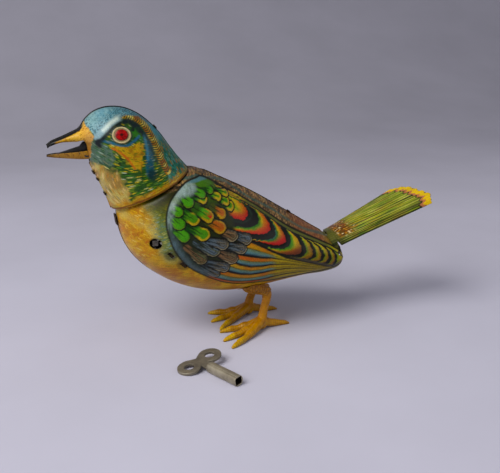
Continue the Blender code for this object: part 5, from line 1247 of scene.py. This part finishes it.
# %% Crown, eye and beak
def lay_crown(page, flat):
    """Blue crown, lighter to the front partly as painted highlight, fine dark hairs over the pale
    streak, which is partly painted highlight, and the black mask under it.
    """
    x, z = flat[:, 0], flat[:, 1]
    low = np.interp(x, [-78.0, -74.8, -72.5, -69.3, -66.3, -63.3, -59.4, -54.0, -50.0],
                    [96.0, 96.6, 93.6, 96.6, 99.2, 100.8, 101.6, 100.8, 97.5])
    crown = smooth(-0.4, 0.5, z - low) * smooth(-75.9, -74.9, x + 0.2 * (z - 96))
    # The blue is lighter to the front: partly print, partly a painted highlight on the forehead.
    page.lay(tones(x, "-74 #86a8aa, -68 #6a94a0, -56 #55808c"), crown)
    page.lay("#9fbfc0", crown * smooth(0.45, 0.75, cloud(flat, 0.9, 32)) * 0.35)
    page.strokes(dashes(z + 0.6 * x, x - 0.6 * z, 1.9, 0.5, 33, fill=0.95),
                 "0 #0c2026, 0.7 #1c3f48, 1 #3a6470", crown * smooth(5.0, 1.5, z - low) * 0.95)
    dot, _ = dashes(x, z, 1.0, 0.6, 35, fill=0.4)
    page.lay("#2f5f6e", dot * crown * 0.55)
    page.lay("#101c1e", near_line(flat, MASK, 1.15, 0.6) * (0.8 + 0.25 * cloud(flat, 0.7, 18)))
    # The pale streak before the eye is partly print, partly painted highlight; its near-white core
    # is painted highlight.
    page.lay("#8fa8ac", near_line(flat, STREAK_AND_HIGHLIGHT, 1.15, 0.55) * smooth(-60.5, -63.0, x))
    page.lay("#c4d2cc", near_line(flat, STREAK_AND_HIGHLIGHT[1:4], 0.6, 0.5) * 0.95)
    page.lay("#12181a", near_line(flat, [(-71.4, 91.8), (-71.8, 90.6), (-71.0, 89.8)], 0.9, 0.7))


def lay_eye(page, flat, eye):
    """A thin pale ring, a brownish one, and a red disc stippled darker round the pupil."""
    page.lay("#26342e", smooth(5.2, 3.9, eye) * 0.75)
    page.lay("#c9bd96", smooth(3.9, 3.6, eye))
    page.lay("#857a5c", smooth(3.3, 3.05, eye) * 0.9)
    page.lay("#7a0f0c", smooth(2.7, 2.5, eye))
    page.lay("#a8140e", smooth(2.4, 2.05, eye) * smooth(0.25, 0.7, cloud(flat, 0.5, 20)))
    page.lay("#2a0505", smooth(0.8, 0.5, eye) * 0.95)


def lay_beak(page, points, flat, edge):
    """Yellow with brown grain, pinkish at the root, black along the ridge and at the tip."""
    x, z = flat[:, 0], flat[:, 1]
    beak = smooth(-0.25, 0.25, to_outline(flat, BEAK_SIDE) + 0.6 * (cloud(flat, 0.9, 22) - 0.5))
    page.lay(tones(x, "-90 #a87c34, -84 #cba548, -80 #d8b55c, -76.5 #cfa65c, -73.5 #c29c64"), beak)
    page.strokes(dashes(x + 0.5 * z, z - 0.5 * x, 1.8, 0.5, 29, fill=0.45),
                 "0 #5c3410, 0.5 #a8641c, 1 #e6cc6c", beak * 0.7)
    page.lay("#6f3c14",
             beak * smooth(2.2, 0.6, z - np.interp(x, [-91, -84, -77], [88.2, 89.8, 89.6])) * 0.6)
    ridge = smooth(-1.1, -0.6, z - np.interp(x, *CULMEN)) * smooth(-76.0, -77.5, x)
    page.lay("#0e0c0a", np.maximum(ridge, smooth(-86.8, -88.6, x + 0.6 * (z - 90.0))))
    page.lay("#0e0c0a", smooth(1.1, 0.7, np.abs(points[:, 1])) * smooth(-40.0, -46.0, x)
             * smooth(80.0, 84.0, z))
    page.lay("#0e0c0a", smooth(0.7, 0.3, edge) * 0.9)


print("crown ink", sampled(lay_crown, -60, 103), "eye ink", sampled(lay_eye, -62, 94, 0 * FULL))


# %% The whole head
def head_print(points, edge):
    """The inks of one half of the head."""
    flat = points[:, SIDE_VIEW]
    x = flat[:, 0]
    page = Print(len(points), "#2c4a20")
    rim = to_line(flat, RIM_LINE)
    turn = np.interp(rim, [0.0, 8.0, 22.0], [0.45, 0.15, -0.45])
    off_x, off_z = x + 62.0, flat[:, 1] - 80.0
    along = off_x * np.cos(turn) + off_z * np.sin(turn)
    across = off_z * np.cos(turn) - off_x * np.sin(turn)
    lay_neck(page, flat, along, across)
    lay_throat(page, flat, along, across)
    lay_cheek(page, flat, along, across)
    lay_nape(page, flat)
    lay_crown(page, flat)
    band = smooth(2.9, 1.2, rim + 1.8 * (cloud(flat, 1.4, 16) - 0.5)) * smooth(-33.0, -38.0, x)
    page.lay("#a37c34", band * 0.85)
    page.strokes(dashes(along, across, 3.0, 0.65, 37),
                 "0 #7a3a18, 0.35 #b8843c, 0.7 #ccb458, 1 #465a24", band * 0.8)
    page.lay("#5c3414", smooth(0.55, 0.2, rim) * 0.85)
    from_eye = np.column_stack([x, np.abs(points[:, 1]), flat[:, 1]]) - EYE
    eye = np.linalg.norm(from_eye * [1.0, 1.0, 1.12], axis=1)
    lay_eye(page, flat, eye)
    lay_beak(page, points, flat, edge)
    bead = SEAM_BEAD * smooth(1.2, 0.7, np.abs(points[:, 1])) * smooth(1.2, 0.6, edge)
    relief = 0.30 * smooth(4.1, 3.6, eye) + 0.30 * np.sqrt(np.clip(1 - (eye / 2.6) ** 2, 0, 1))
    return page.deepened(1.2), relief + bead - 0.15 * smooth(0.5, 0.1, np.abs(eye - 2.75))


print("ink in the pupil", head_print(EYE[None], np.full(1, 9.0))[0])

# %% Head pieces
halves("head", HEAD, HEAD_GRIDS, head_print, lambda side: [],
       lambda points: np.zeros(len(points)), mouth_edge)

# %% [markdown]
# ## The tail
# The tail is one sheet, arched across, its long edges folded down and its end cut in a wavy
# bow. It is drawn by two parameters, along and across, and its root narrows to a tongue with
# two ears that hang on the pin. The lever below it is a strip riveted on.

# %% Tail
TAIL_LENGTH = 45.5
TAIL_LIFT = 4.2
TAIL_TONGUE, TAIL_ROOT, TAIL_TIP = 8.4, 10.8, 16.8
TAIL_FOLD = 1.8
TAIL_SHEET = 0.5
TAIL_FLAT = 0.9
TAIL_PRINT_HALF = 16.0
TAIL_LEVER = 6.7


def tail_tip(share):
    """How far the end reaches past the corners: 6.5 (1 - |s|^3), a scallop of 0.4 cos(6 pi s),
    and up to 4 more at the near corner, which is drawn out in the photograph."""
    return (6.5 * (1 - np.abs(share) ** 3) + 0.4 * np.cos(6 * math.pi * share)
            + 4.0 * smooth(-0.1, -1.0, share))


def tail_surface(along, across):
    """A parabola across, deepest at the root, whose last tenth turns down as the folded edge;
    from the middle on, the points spread lengthways to reach the bowed end."""
    share = np.clip(across / TAIL_FLAT, -1, 1)
    fold = np.clip((np.abs(across) - TAIL_FLAT) / (1 - TAIL_FLAT), 0, 1)
    grown = np.clip((along - 2.9) / (TAIL_LENGTH - 2.9), 0, 1) ** 1.2
    half = TAIL_TONGUE + smooth(2.3, 2.9, along) * (
        TAIL_ROOT - TAIL_TONGUE + (TAIL_TIP - TAIL_ROOT) * grown)
    crown = 3.2 - 2.1 * np.clip(along, 0, None) / TAIL_LENGTH
    drop = np.interp(along, [-2.1, -1.9, 1.7, 1.9, 2.5, 2.7],
                     [0.4, TAIL_LIFT + 1.6, TAIL_LIFT + 1.6, 0.4, 0.4, TAIL_FOLD])
    spread = np.clip((along - 24.0) / (TAIL_LENGTH - 24.0), 0, 1)
    flute = 0.12 * np.cos(14 * math.pi * share) * smooth(6.0, 16.0, along)
    up = TAIL_LIFT + crown * (1 - share**2) - drop * fold + flute
    out = 0.35 * np.sin(fold * math.pi / 2)
    return on_tail(along + tail_tip(share) * spread, up, half * share + np.sign(across) * out)


def tail_print(along, across):
    """Dark lines run lengthways over yellow-green, gold flecks at the root, a yellow end band."""
    share = across / TAIL_FLAT
    aside = share * TAIL_PRINT_HALF
    flat = np.column_stack([along, aside])
    page = Print(len(along), "#8f9a3c")
    page.lay(tones(cloud(flat * [0.2, 1.0], 1.3, 51), "0.25 #8a9a3c, 0.5 #a3ad4a, 0.75 #bdbf62"),
             np.full(len(along), 0.9))
    page.lay("#747a44", smooth(24.0, 6.0, along) * 0.6)
    for seed, size, tint in ((57, 1.1, "#b07040"), (58, 0.9, "#4f7434"), (59, 0.8, "#c4b44c")):
        tinge, _ = dashes(along, aside, 12.0, size, seed, fill=0.42)
        page.lay(tint, tinge * smooth(6.0, 14.0, along) * smooth(38.0, 30.0, along) * 0.9)
    for shift, dark, width, seed in ((0.5, "#1c1f10", 0.15, 53), (0.02, "#56602c", 0.10, 54)):
        wave = 0.25 * (cloud(flat * [0.15, 1], 2.0, seed) - 0.5)
        lane = np.abs(((share * 6.5 + shift + wave) % 1) - 0.5)
        page.lay(dark, smooth(width, width * 0.6, lane)
                 * (0.75 + 0.4 * (cloud(flat * [0.3, 1], 1.8, 55) - 0.3)))
    page.lay("#4c4a22", smooth(6.0, 3.5, along) * 0.8)
    root = smooth(15.5, 9.0, along + 3.0 * (cloud(flat, 2.0, 59) - 0.5))
    root = root * smooth(0.95, 0.7, np.abs(share)) * smooth(3.0, 5.5, along)
    page.lay("#5f3a16", root * 0.9)
    page.strokes(dashes(along, aside, 1.5, 1.0, 61, slim=0.95),
                 "0 #2a160c, 0.35 #9a4c1c, 0.65 #c9943c, 1 #ecdcae", root)
    page.lay("#1f2a10", smooth(0.035, 0.015, np.abs((np.abs(share) - 0.90) % 0.075 - 0.0375))
             * smooth(0.84, 0.88, np.abs(share)) * 0.8)
    left = (TAIL_LENGTH - along) * (1 + tail_tip(share) / 21.5)
    left = left + 0.7 * np.cos(9 * math.pi * share)
    page.lay("#b97a54", smooth(5.4, 4.8, left))
    page.lay("#1f1c10", smooth(0.55, 0.25, np.abs(left - 5.4)) * 0.9)
    page.lay("#dcc00a", smooth(3.7, 3.1, left + 0.8 * (cloud(flat, 1.5, 63) - 0.5)))
    return page.deepened(1.15)


print("the tail's end reaches", tail_tip(np.array([-0.9, 0.0, 0.9])).round(1), "mm past")


# %% Strips
def outward(made):
    """Welds doubled points and turns the faces of a closed mesh outwards."""
    form = bmesh.new()
    form.from_mesh(made.data)
    bmesh.ops.remove_doubles(form, verts=form.verts, dist=0.002 * MM)
    bmesh.ops.recalc_face_normals(form, faces=form.faces)
    form.to_mesh(made.data)
    form.free()
    return made


def plate(name, outline, y_low, y_high):
    """A flat strip square to y from a side-view outline, with its corners softened."""
    ring = np.asarray(outline, float)
    count = len(ring)
    points = np.concatenate([
        np.column_stack([ring[:, 0], np.full(count, y), ring[:, 1]]) for y in (y_low, y_high)])
    sides = [[k, (k + 1) % count, (k + 1) % count + count, k + count] for k in range(count)]
    faces = [list(range(count))[::-1], list(range(count, 2 * count)), *sides]
    mesh = bpy.data.meshes.new(name)
    mesh.from_pydata(placed(points).tolist(), [], faces)
    made = outward(linked(name, mesh))
    soft = made.modifiers.new("softened", "BEVEL")
    soft.width = 0.12 * MM
    soft.segments = 2
    mesh.shade_smooth()
    return made


def rounded_bar(start, end, start_radius, end_radius):
    """Side-view outline of a bar with half a circle at each end."""
    heading = math.atan2(end[1] - start[1], end[0] - start[0])
    turns = heading + np.linspace(-math.pi / 2, math.pi / 2, 13)
    return [(x + radius * math.cos(turn), z + radius * math.sin(turn))
            for (x, z), radius in ((start, -start_radius), (end, end_radius)) for turn in turns]


print("bar outline", len(rounded_bar((0, 0), (1, 0), 0.2, 0.1)), "points")

# %% Tail pieces
rows, columns = 190, 150
runs = np.concatenate([np.linspace(-3.5, 3.2, 44), np.linspace(3.4, TAIL_LENGTH, rows - 44)])
spots = np.concatenate([
    np.linspace(-1.0, -TAIL_FLAT, 9)[:-1], np.linspace(-TAIL_FLAT, TAIL_FLAT, columns - 16),
    np.linspace(TAIL_FLAT, 1.0, 9)[1:]])
run, spot = np.meshgrid(runs, spots, indexing="ij")
points = tail_surface(run, spot).reshape(-1, 3)
faces = opened(points, grid_faces(rows, columns), [round_hole(*TAIL_PIN, PIN_HOLE)], 0.25)
tail = new_object("tail_sheet", placed(points), faces)
if tail.data.polygons[len(tail.data.polygons) // 2].normal.z < 0:
    tail.data.flip_normals()
coloured(tail.data, "print", tail_print(run.ravel(), spot.ravel()))
valued(tail.data, "edge", np.minimum(np.minimum(TAIL_LENGTH - run, 20.0),
                                     (1 - np.abs(spot)) * 18.0).ravel())
walled(tail, TAIL_SHEET, material_offset=1, material_offset_rim=2)
seated(tail, "tail", "tail", "tail_tin", LITHOGRAPH, BARE_TIN, CUT_EDGE)
LEVER_LEAN = math.radians(15)
lever_end = (TAIL_PIN[0] - TAIL_LEVER * math.sin(LEVER_LEAN),
             TAIL_PIN[1] - TAIL_LEVER * math.cos(LEVER_LEAN))
neck = on_tail(-0.6, 6.6, 0.0)[SIDE_VIEW]
for name, outline, low, high in (
        ("tail_lever", rounded_bar(TAIL_PIN, lever_end, 1.7, 0.9), -3.2, -2.4),
        ("tail_hanger", rounded_bar(neck, TAIL_PIN, 1.0, 1.4), -3.15, -2.45)):
    seated(plate(name, outline, low, high), "tail", "tail", "bare_tin", BARE_TIN)

# %% [markdown]
# ## The lower beak
# A small folded channel, yellow outside and black inside, pointed in front and open behind. It
# hangs on the pin by two arms, and a lever between them is pushed by the wire.

# %% Lower beak
# x, the lowest and the highest z, half width as a share.
BEAK_ROWS = np.array([
    (-92.0, 84.6, 85.4, 0.36), (-89.8, 84.2, 85.7, 0.5), (-86.6, 83.8, 85.9, 0.68),
    (-82.5, 83.4, 86.1, 0.84), (-78.5, 83.0, 86.4, 0.95), (-74.4, 82.9, 86.8, 1.0)])
BEAK_HALF = 2.6
BEAK_PIN = (-68.5, 86.3)


def beak_surface(at, turn):
    """Each section is half a rounded square: sine and cosine raised to a power below one."""
    row = blended(BEAK_ROWS, at)
    wide = np.sign(np.cos(turn)) * np.abs(np.cos(turn)) ** 0.45
    up = 1 - np.abs(np.sin(turn)) ** 0.8
    return np.stack([row[..., 0], -wide * row[..., 3] * BEAK_HALF,
                     row[..., 1] + up * (row[..., 2] - row[..., 1])], axis=-1)


at, turn = np.meshgrid(np.linspace(0, 5, 90), np.linspace(0, math.pi, 60), indexing="ij")
points = beak_surface(at, turn)
beak = new_object("beak_channel", placed(points), grid_faces(90, 60))
if beak.data.polygons[45 * 59 + 30].normal.z > 0:
    beak.data.flip_normals()
flat = points.reshape(-1, 3)
page = Print(len(flat), "#a8741a")
page.lay(tones(flat[:, 0], "-92 #4a3a1c, -88 #9c742c, -75 #b8841c"),
         np.full(len(flat), 0.9))
page.lay("#7a4a1c", smooth(0.62, 0.75, cloud(flat, 0.7, 71)) * 0.7)
page.lay("#a8761c", smooth(84.2, 83.2, flat[:, 2]) * 0.6)
coloured(beak.data, "print", page.ink)
valued(beak.data, "edge", np.minimum(np.minimum(turn, math.pi - turn) * 2.4, 9).ravel())
walled(beak, SHEET, material_offset=1, material_offset_rim=1)
seated(beak, "beak", "lower_beak", "beak_tin", LITHOGRAPH, ENAMEL)
RISE = BEAK_PIN[1] - NECK_CENTRE[2]
CROSSING = (NECK_CENTRE[0] - RISE * math.tan(NECK_LEAN), BEAK_PIN[1])
TONGUE = [(-90.8, 84.9), (-84.2, 86.7), (-78.5, 88.4), (-77.0, 90.2), (-74.6, 90.2),
          (-74.6, 86.4), (-84.2, 84.8)]
ARM = rounded_bar((-75.8, 85.2), BEAK_PIN, 1.2, 1.5)
for name, outline, low, high, finish in (
        ("beak_tongue", TONGUE, -1.1, 1.1, ENAMEL), ("beak_arm_left", ARM, -2.45, -2.0, ENAMEL),
        ("beak_arm_right", ARM, 2.0, 2.45, ENAMEL),
        ("beak_lever", rounded_bar(BEAK_PIN, CROSSING, 1.1, 0.8), -0.5, 0.5, STEEL)):
    seated(plate(name, outline, low, high), "beak", "lower_beak", "beak_tin", finish)

# %% [markdown]
# ## The legs
# Each leg is one moulding: a feathered thigh, a thin shank and four knuckled toes. It is built
# of round sweeps whose centre line and radius are blended from a few stations, grown together
# on a fine lattice into one skin, and then pressed into feathers and grooves point by point.

# %% Legs
HIP = (-7.0, 11.8)
BELLY_GAP = 0.3
# Ankle, the tips of the three front toes, the tip of the hind toe.
TOES = {
    "left": ((-0.9, -10.7), [(-20.5, -9.8), (-21.6, -19.7), (-19.8, -27.8)], (13.2, -8.5)),
    "right": ((-1.5, 8.9), [(-20.4, 14.1), (-21.5, 3.4), (-19.8, -6.6)], (13.5, 10.5))}
TOE_RADII = [(0.0, 2.5), (0.2, 2.15), (0.33, 1.9), (0.44, 1.95), (0.56, 1.55), (0.66, 1.5),
             (0.75, 1.55), (0.86, 1.25), (0.94, 1.05), (1.0, 0.7)]
SPUR_RADII = [(0.0, 2.5), (0.25, 2.0), (0.5, 1.75), (0.7, 1.4), (0.88, 1.1), (1.0, 0.6)]


def swept(stations, steps, around):
    """A closed round sweep: rows (x, y, z, radius) blended along, half a ball at each end."""
    rows = blended(np.asarray(stations, float), np.linspace(0, len(stations) - 1, steps))
    way = np.gradient(rows[:, :3], axis=0)
    way /= np.linalg.norm(way, axis=1, keepdims=True)
    dome = np.linspace(math.pi / 2, 0, 7)[:-1]
    head = [(rows[0, :3] - way[0] * rows[0, 3] * math.sin(t), rows[0, 3] * math.cos(t), way[0])
            for t in dome]
    tail_end = [(rows[-1, :3] + way[-1] * rows[-1, 3] * math.sin(t), rows[-1, 3] * math.cos(t),
                 way[-1]) for t in dome[::-1]]
    ring = head + list(zip(rows[:, :3], rows[:, 3], way)) + tail_end
    centre, radius, heading = (np.array(part) for part in zip(*ring))
    level = np.cross(heading, [0.31, 0.93, 0.2])
    level /= np.linalg.norm(level, axis=1, keepdims=True)
    lift = np.cross(level, heading)
    turn = np.linspace(0, 2 * math.pi, around, endpoint=False)
    round_about = (np.cos(turn)[None, :, None] * level[:, None]
                   + np.sin(turn)[None, :, None] * lift[:, None])
    points = centre[:, None] + radius[:, None, None] * round_about
    return points.reshape(-1, 3), grid_faces(len(centre), around, closed=True)


def grown(name, sweeps, voxel):
    """One skin over several overlapping sweeps, on a cubic lattice, a little smoothed."""
    count, faces = 0, []
    for points, quads in sweeps:
        faces.append(quads + count)
        count += len(points)
    made = new_object(name, placed(np.concatenate([part[0] for part in sweeps])),
                      np.concatenate(faces))
    outward(made)
    lattice = made.modifiers.new("lattice", "REMESH")
    lattice.mode = "VOXEL"
    lattice.voxel_size = voxel * MM
    relaxed = made.modifiers.new("relaxed", "SMOOTH")
    relaxed.factor = 0.5
    relaxed.iterations = 4
    shape = bpy.data.meshes.new_from_object(made.evaluated_get(
        bpy.context.evaluated_depsgraph_get()))
    made.modifiers.clear()
    made.data = shape
    shape.shade_smooth()
    return made


print("toe stations", len(TOE_RADII), "spur stations", len(SPUR_RADII))


# %% Leg surface
def stored(mesh, what="co"):
    """The points or the normals of a mesh, a row of three for each."""
    values = np.empty(3 * len(mesh.vertices))
    mesh.vertices.foreach_get(what, values)
    return values.reshape(-1, 3)


def belly(x, y):
    """Height of the body's underside at points under it, from the nearest point of the skin."""
    at, turn = np.meshgrid(np.linspace(6, 13, 260), np.linspace(math.pi / 2, math.pi, 70))
    under = skin(BODY, at, turn, 1).reshape(-1, 3)
    height = np.empty(len(x))
    for start in range(0, len(x), 500):
        part = slice(start, start + 500)
        gap = ((under[None, :, 0] - x[part, None]) ** 2
               + (under[None, :, 1] - np.abs(y[part, None])) ** 2)
        height[part] = under[gap.argmin(axis=1), 2]
    return height


def toe_sweep(ankle, tip, radii, bend):
    """Under the ankle the toe starts raised and comes down by a cubic; its tip hooks down."""
    rows = []
    for share, radius in radii:
        x = ankle[0] + (tip[0] - ankle[0]) * share
        y = ankle[1] + (tip[1] - ankle[1]) * share + bend * math.sin(math.pi * share)
        rows.append((x, y, radius - 0.2 + 2.07 * (1 - share) ** 3, radius))
    return swept(rows, 90, 24)


def plumed(points, normal, hip_x, hip_y, ankle):
    """Presses feathers into the thigh and creases into shank and toes, and keeps the leg under
    the body; gives the points and their colours."""
    height = points[:, 2]
    turn = np.arctan2(points[:, 1] - hip_y, points[:, 0] - hip_x - 2.0)
    plume, _ = dashes(height - 0.5 * (points[:, 0] - hip_x), turn * 4.0, 2.6, 1.0, 81, fill=1.0)
    ringed = 0.5 + 0.5 * np.cos(height * 2 * math.pi / 1.35)
    groove = smooth(17.0, 19.5, height) * (plume - 0.6) * 0.34
    groove = groove - ringed * smooth(5.0, 6.5, height) * smooth(17.0, 15.0, height) * 0.10
    off = np.hypot(points[:, 0] - ankle[0], points[:, 1] - ankle[1])
    creases = 0.5 + 0.5 * np.cos(off * 2 * math.pi / 1.15)
    groove = groove - creases**3 * smooth(3.5, 5.5, off) * smooth(4.6, 3.2, height) * 0.12
    points = points + normal * groove[:, None]
    near = points[:, 2] > 18.0
    limit = belly(points[near, 0], points[near, 1]) - BELLY_GAP
    points[near, 2] = np.minimum(points[near, 2], limit)
    points[:, 2] = np.maximum(points[:, 2], 0.0)
    page = Print(len(points), "#b87c00")
    page.lay("#c08a00", smooth(7.0, 2.5, height))
    page.lay("#cfa600", smooth(13.0, 20.0, off) * smooth(4.0, 2.5, height))
    page.lay("#a87204", smooth(16.5, 19.5, height))
    page.lay("#6f4204", smooth(17.5, 19.5, height) * smooth(0.5, 0.1, plume) * 0.5)
    page.lay("#8a5c0a", creases**3 * smooth(4.6, 3.2, height) * smooth(3.5, 5.5, off) * 0.45)
    page.lay("#5f3f0a", smooth(0.9, 0.1, height) * 0.5)
    return points, page.ink


print("belly over the hip at", belly(np.array([HIP[0]]), np.array([HIP[1]])).round(2), "mm")

# %% Both legs
for hand, side in (("left", -1), ("right", 1)):
    ankle, toes, spur = TOES[hand]
    hip_x, hip_y = HIP[0], side * HIP[1]
    top = float(belly(np.array([hip_x]), np.array([hip_y]))[0])
    limb = [
        (hip_x - 3.0, hip_y, top + 3.5, 3.0), (hip_x - 0.4, hip_y, top + 2.2, 4.6),
        (hip_x + 3.4, hip_y, top + 0.6, 4.4), (hip_x + 6.4, (hip_y + ankle[1]) / 2, 20.4, 3.3),
        (hip_x + 8.3, ankle[1], 18.0, 2.45), (hip_x + 8.4, ankle[1], 15.2, 2.1),
        (hip_x + 7.5, ankle[1], 11.5, 1.95), (ankle[0] + 0.5, ankle[1], 7.5, 2.1),
        (ankle[0], ankle[1], 4.6, 2.5), (ankle[0], ankle[1], 2.3, 2.3)]
    sweeps = [swept(limb, 150, 40)]
    for bend, tip in zip((-0.6, 0.0, 0.8), toes):
        sweeps.append(toe_sweep(ankle, tip, TOE_RADII, bend * side))
    sweeps.append(toe_sweep(ankle, spur, SPUR_RADII, 0.5))
    made = grown("leg_moulding_" + hand, sweeps, 0.24)
    points, ink = plumed(stored(made.data) / MM - BETWEEN_ANKLES, stored(made.data, "normal"),
                         hip_x, hip_y, ankle)
    made.data.vertices.foreach_set("co", placed(points).ravel())
    made.data.update()
    coloured(made.data, "print", ink)
    made.data.materials.clear()
    seated(made, "body", "leg_" + hand, "leg_plastic", PLASTIC)

# %% [markdown]
# ## The key
# The key's bow is a stamped plate with two eyes; its tube is rolled from strip round a square
# and shows the joint along it. Both are drawn in the key's own frame, x down the tube, and
# carried to the floor as it lies there.

# %% Key
KEY_PLACE = (Matrix.Translation((-34.9, -46.3, 2.3)) @ Matrix.Rotation(math.radians(-62.7), 4, "Z")
             @ Matrix.Rotation(math.radians(9.2), 4, "X"))
BOW_BACK, EYE_SPREAD = -6.4, 5.65
BOW_RADIUS, BOW_HOLE, BOW_THICK = 5.0, 2.1, 1.2


def key_points(points):
    """Points in the key's own frame as points of the bird's, in millimetres."""
    turn = np.array(KEY_PLACE.to_3x3())
    return np.asarray(points) @ turn.T + np.array(KEY_PLACE.translation)


def round_ring(x, y, radius, count=96):
    """Points round a circle: centre plus radius times cosine and sine."""
    turn = np.linspace(0, 2 * math.pi, count, endpoint=False)
    return np.column_stack([x + radius * np.cos(turn), y + radius * np.sin(turn)])


def bow_outline():
    """Two arcs round the eyes, a notch between them, and a neck that narrows to a tongue."""
    turn = np.radians(np.linspace(-50, 215, 90))
    eye = np.column_stack([BOW_BACK + BOW_RADIUS * np.cos(turn),
                           EYE_SPREAD + BOW_RADIUS * np.sin(turn)])
    upper = np.concatenate([[(0.0, 1.05), (0.0, 1.95)], eye])
    lower = upper[::-1] * [1, -1]
    return np.concatenate([upper, [(-8.9, 0.0)], lower, [(3.5, -1.05), (3.5, 1.05)]])


def stamped(name, loops, thickness, soft, carry):
    """A flat plate with holes from closed outlines, its edges rounded, as one plain mesh."""
    drawn = bpy.data.curves.new(name, "CURVE")
    drawn.dimensions = "2D"
    drawn.fill_mode = "BOTH"
    drawn.extrude = thickness / 2 - soft
    drawn.bevel_depth = soft
    drawn.bevel_resolution = 2
    drawn.offset = -soft
    for loop in loops:
        line = drawn.splines.new("POLY")
        line.points.add(len(loop) - 1)
        flat = np.column_stack([loop, np.zeros(len(loop)), np.ones(len(loop))])
        line.points.foreach_set("co", flat.ravel())
        line.use_cyclic_u = True
    held = linked(name, drawn)
    mesh = bpy.data.meshes.new_from_object(held.evaluated_get(
        bpy.context.evaluated_depsgraph_get()))
    bpy.data.objects.remove(held)
    made = linked(name, mesh)
    mesh.vertices.foreach_set("co", placed(carry(stored(mesh))).ravel())
    return outward(made)


print("bow outline", len(bow_outline()), "points")

# %% Key bow
eyes = [round_ring(BOW_BACK, side * EYE_SPREAD, BOW_HOLE) for side in (1, -1)]
bow = stamped("key_bow_plate", [bow_outline(), *eyes], BOW_THICK, 0.25, key_points)
seated(bow, "key", "key_bow", "steel", DULLED_NICKEL)


# %% Key tube
def tube_surface(run, turn):
    """Run goes down the outside, over the mouth's lip and back up the inside; the outside is
    a rounded square by |cos|^p + |sin|^p = 1, the inside a sharper one."""
    stops = np.array([(0.3, 1.65, 2.4), (0.3, 2.15, 2.4), (0.5, 2.25, 2.4), (17.0, 2.25, 2.4),
                      (17.4, 2.2, 2.4), (17.5, 1.95, 3.0), (17.35, 1.6, 7.0), (16.5, 1.52, 9.0),
                      (8.0, 1.52, 9.0), (0.6, 1.52, 9.0), (0.3, 1.65, 2.4)])
    place = np.arange(len(stops))
    x, radius, power = (np.interp(run, place, stops[:, k]) for k in range(3))
    corner = (np.abs(np.cos(turn)) ** power + np.abs(np.sin(turn)) ** power) ** (-1 / power)
    squared = radius * np.where(power > 2.5, corner, corner ** 0.6)
    joint = 0.22 * smooth(0.10, 0.02, np.abs(turn - 2.0)) * (power < 2.5)
    wide = squared * (1 - joint)
    return np.stack([x, wide * np.cos(turn), wide * np.sin(turn)], axis=-1)


steps = np.concatenate([np.linspace(0, 3, 30), np.linspace(3, 8, 50)[1:],
                        np.linspace(8, 10, 12)[1:]])
run, turn = np.meshgrid(steps, np.linspace(0, 2 * math.pi, 128, endpoint=False), indexing="ij")
tube = new_object("key_tube_rolled", placed(key_points(tube_surface(run, turn))),
                  grid_faces(len(steps), 128, closed=True))
seated(outward(tube), "key", "key_tube", "steel", WORN_NICKEL, TARNISHED)
tube.data.polygons.foreach_set("material_index", np.repeat((steps[:-1] >= 6.0).astype(int), 128))

# %% [markdown]
# ## Seam tabs
# The halves are held by small tabs of tin that pass through slits in the other half and are
# bent over. Each is a short strip that follows the skin across the seam.

# %% Seam tabs
TAB_GRID = (14, 16)


def tab(name, rows, body, at, reach, long, proud, top):
    """A strip over the seam: a station range along it and a run down the near side, lifted
    off the skin and sunk into it at its ends by the eighth power of the way there."""
    station, share = np.meshgrid(np.linspace(at - long, at + long, TAB_GRID[0]),
                                 np.linspace(0, 1, TAB_GRID[1]), indexing="ij")
    span = share * reach
    points = skin(rows, station, span if top else math.pi - span, -1)
    normal = facing_out(normals_of(points), -1)
    corner = np.maximum(np.abs(station - at) / long, share) ** 8
    lifted = points + normal * (proud - SHEET * corner)[..., None]
    lifted[..., 1] = np.where(share == 0, 0.0, lifted[..., 1])
    made = new_object(name, placed(lifted), wound(grid_faces(*TAB_GRID), points, normal, True))
    walled(made, SHEET)
    seated(made, body, None, "bare_tin", TARNISHED)


for number, (rows, body, at, reach, long, proud, top) in enumerate([
        (BODY, "body", 8.6, 0.16, 0.10, 0.8, True), (BODY, "body", 12.4, 0.22, 0.10, 0.8, True),
        (BODY, "body", 2.2, 0.15, 0.42, 1.1, False), (HEAD, "head", 3.6, 0.14, 0.16, 0.8, True),
        (HEAD, "head", 1.1, 0.2, 0.12, 0.8, False), (HEAD, "head", 2.3, 0.2, 0.12, 0.8, False),
        (HEAD, "head", 2.9, 0.2, 0.16, 0.9, False)], 1):
    tab("seam_tab_" + str(number), rows, body, at, reach, long, proud, top)
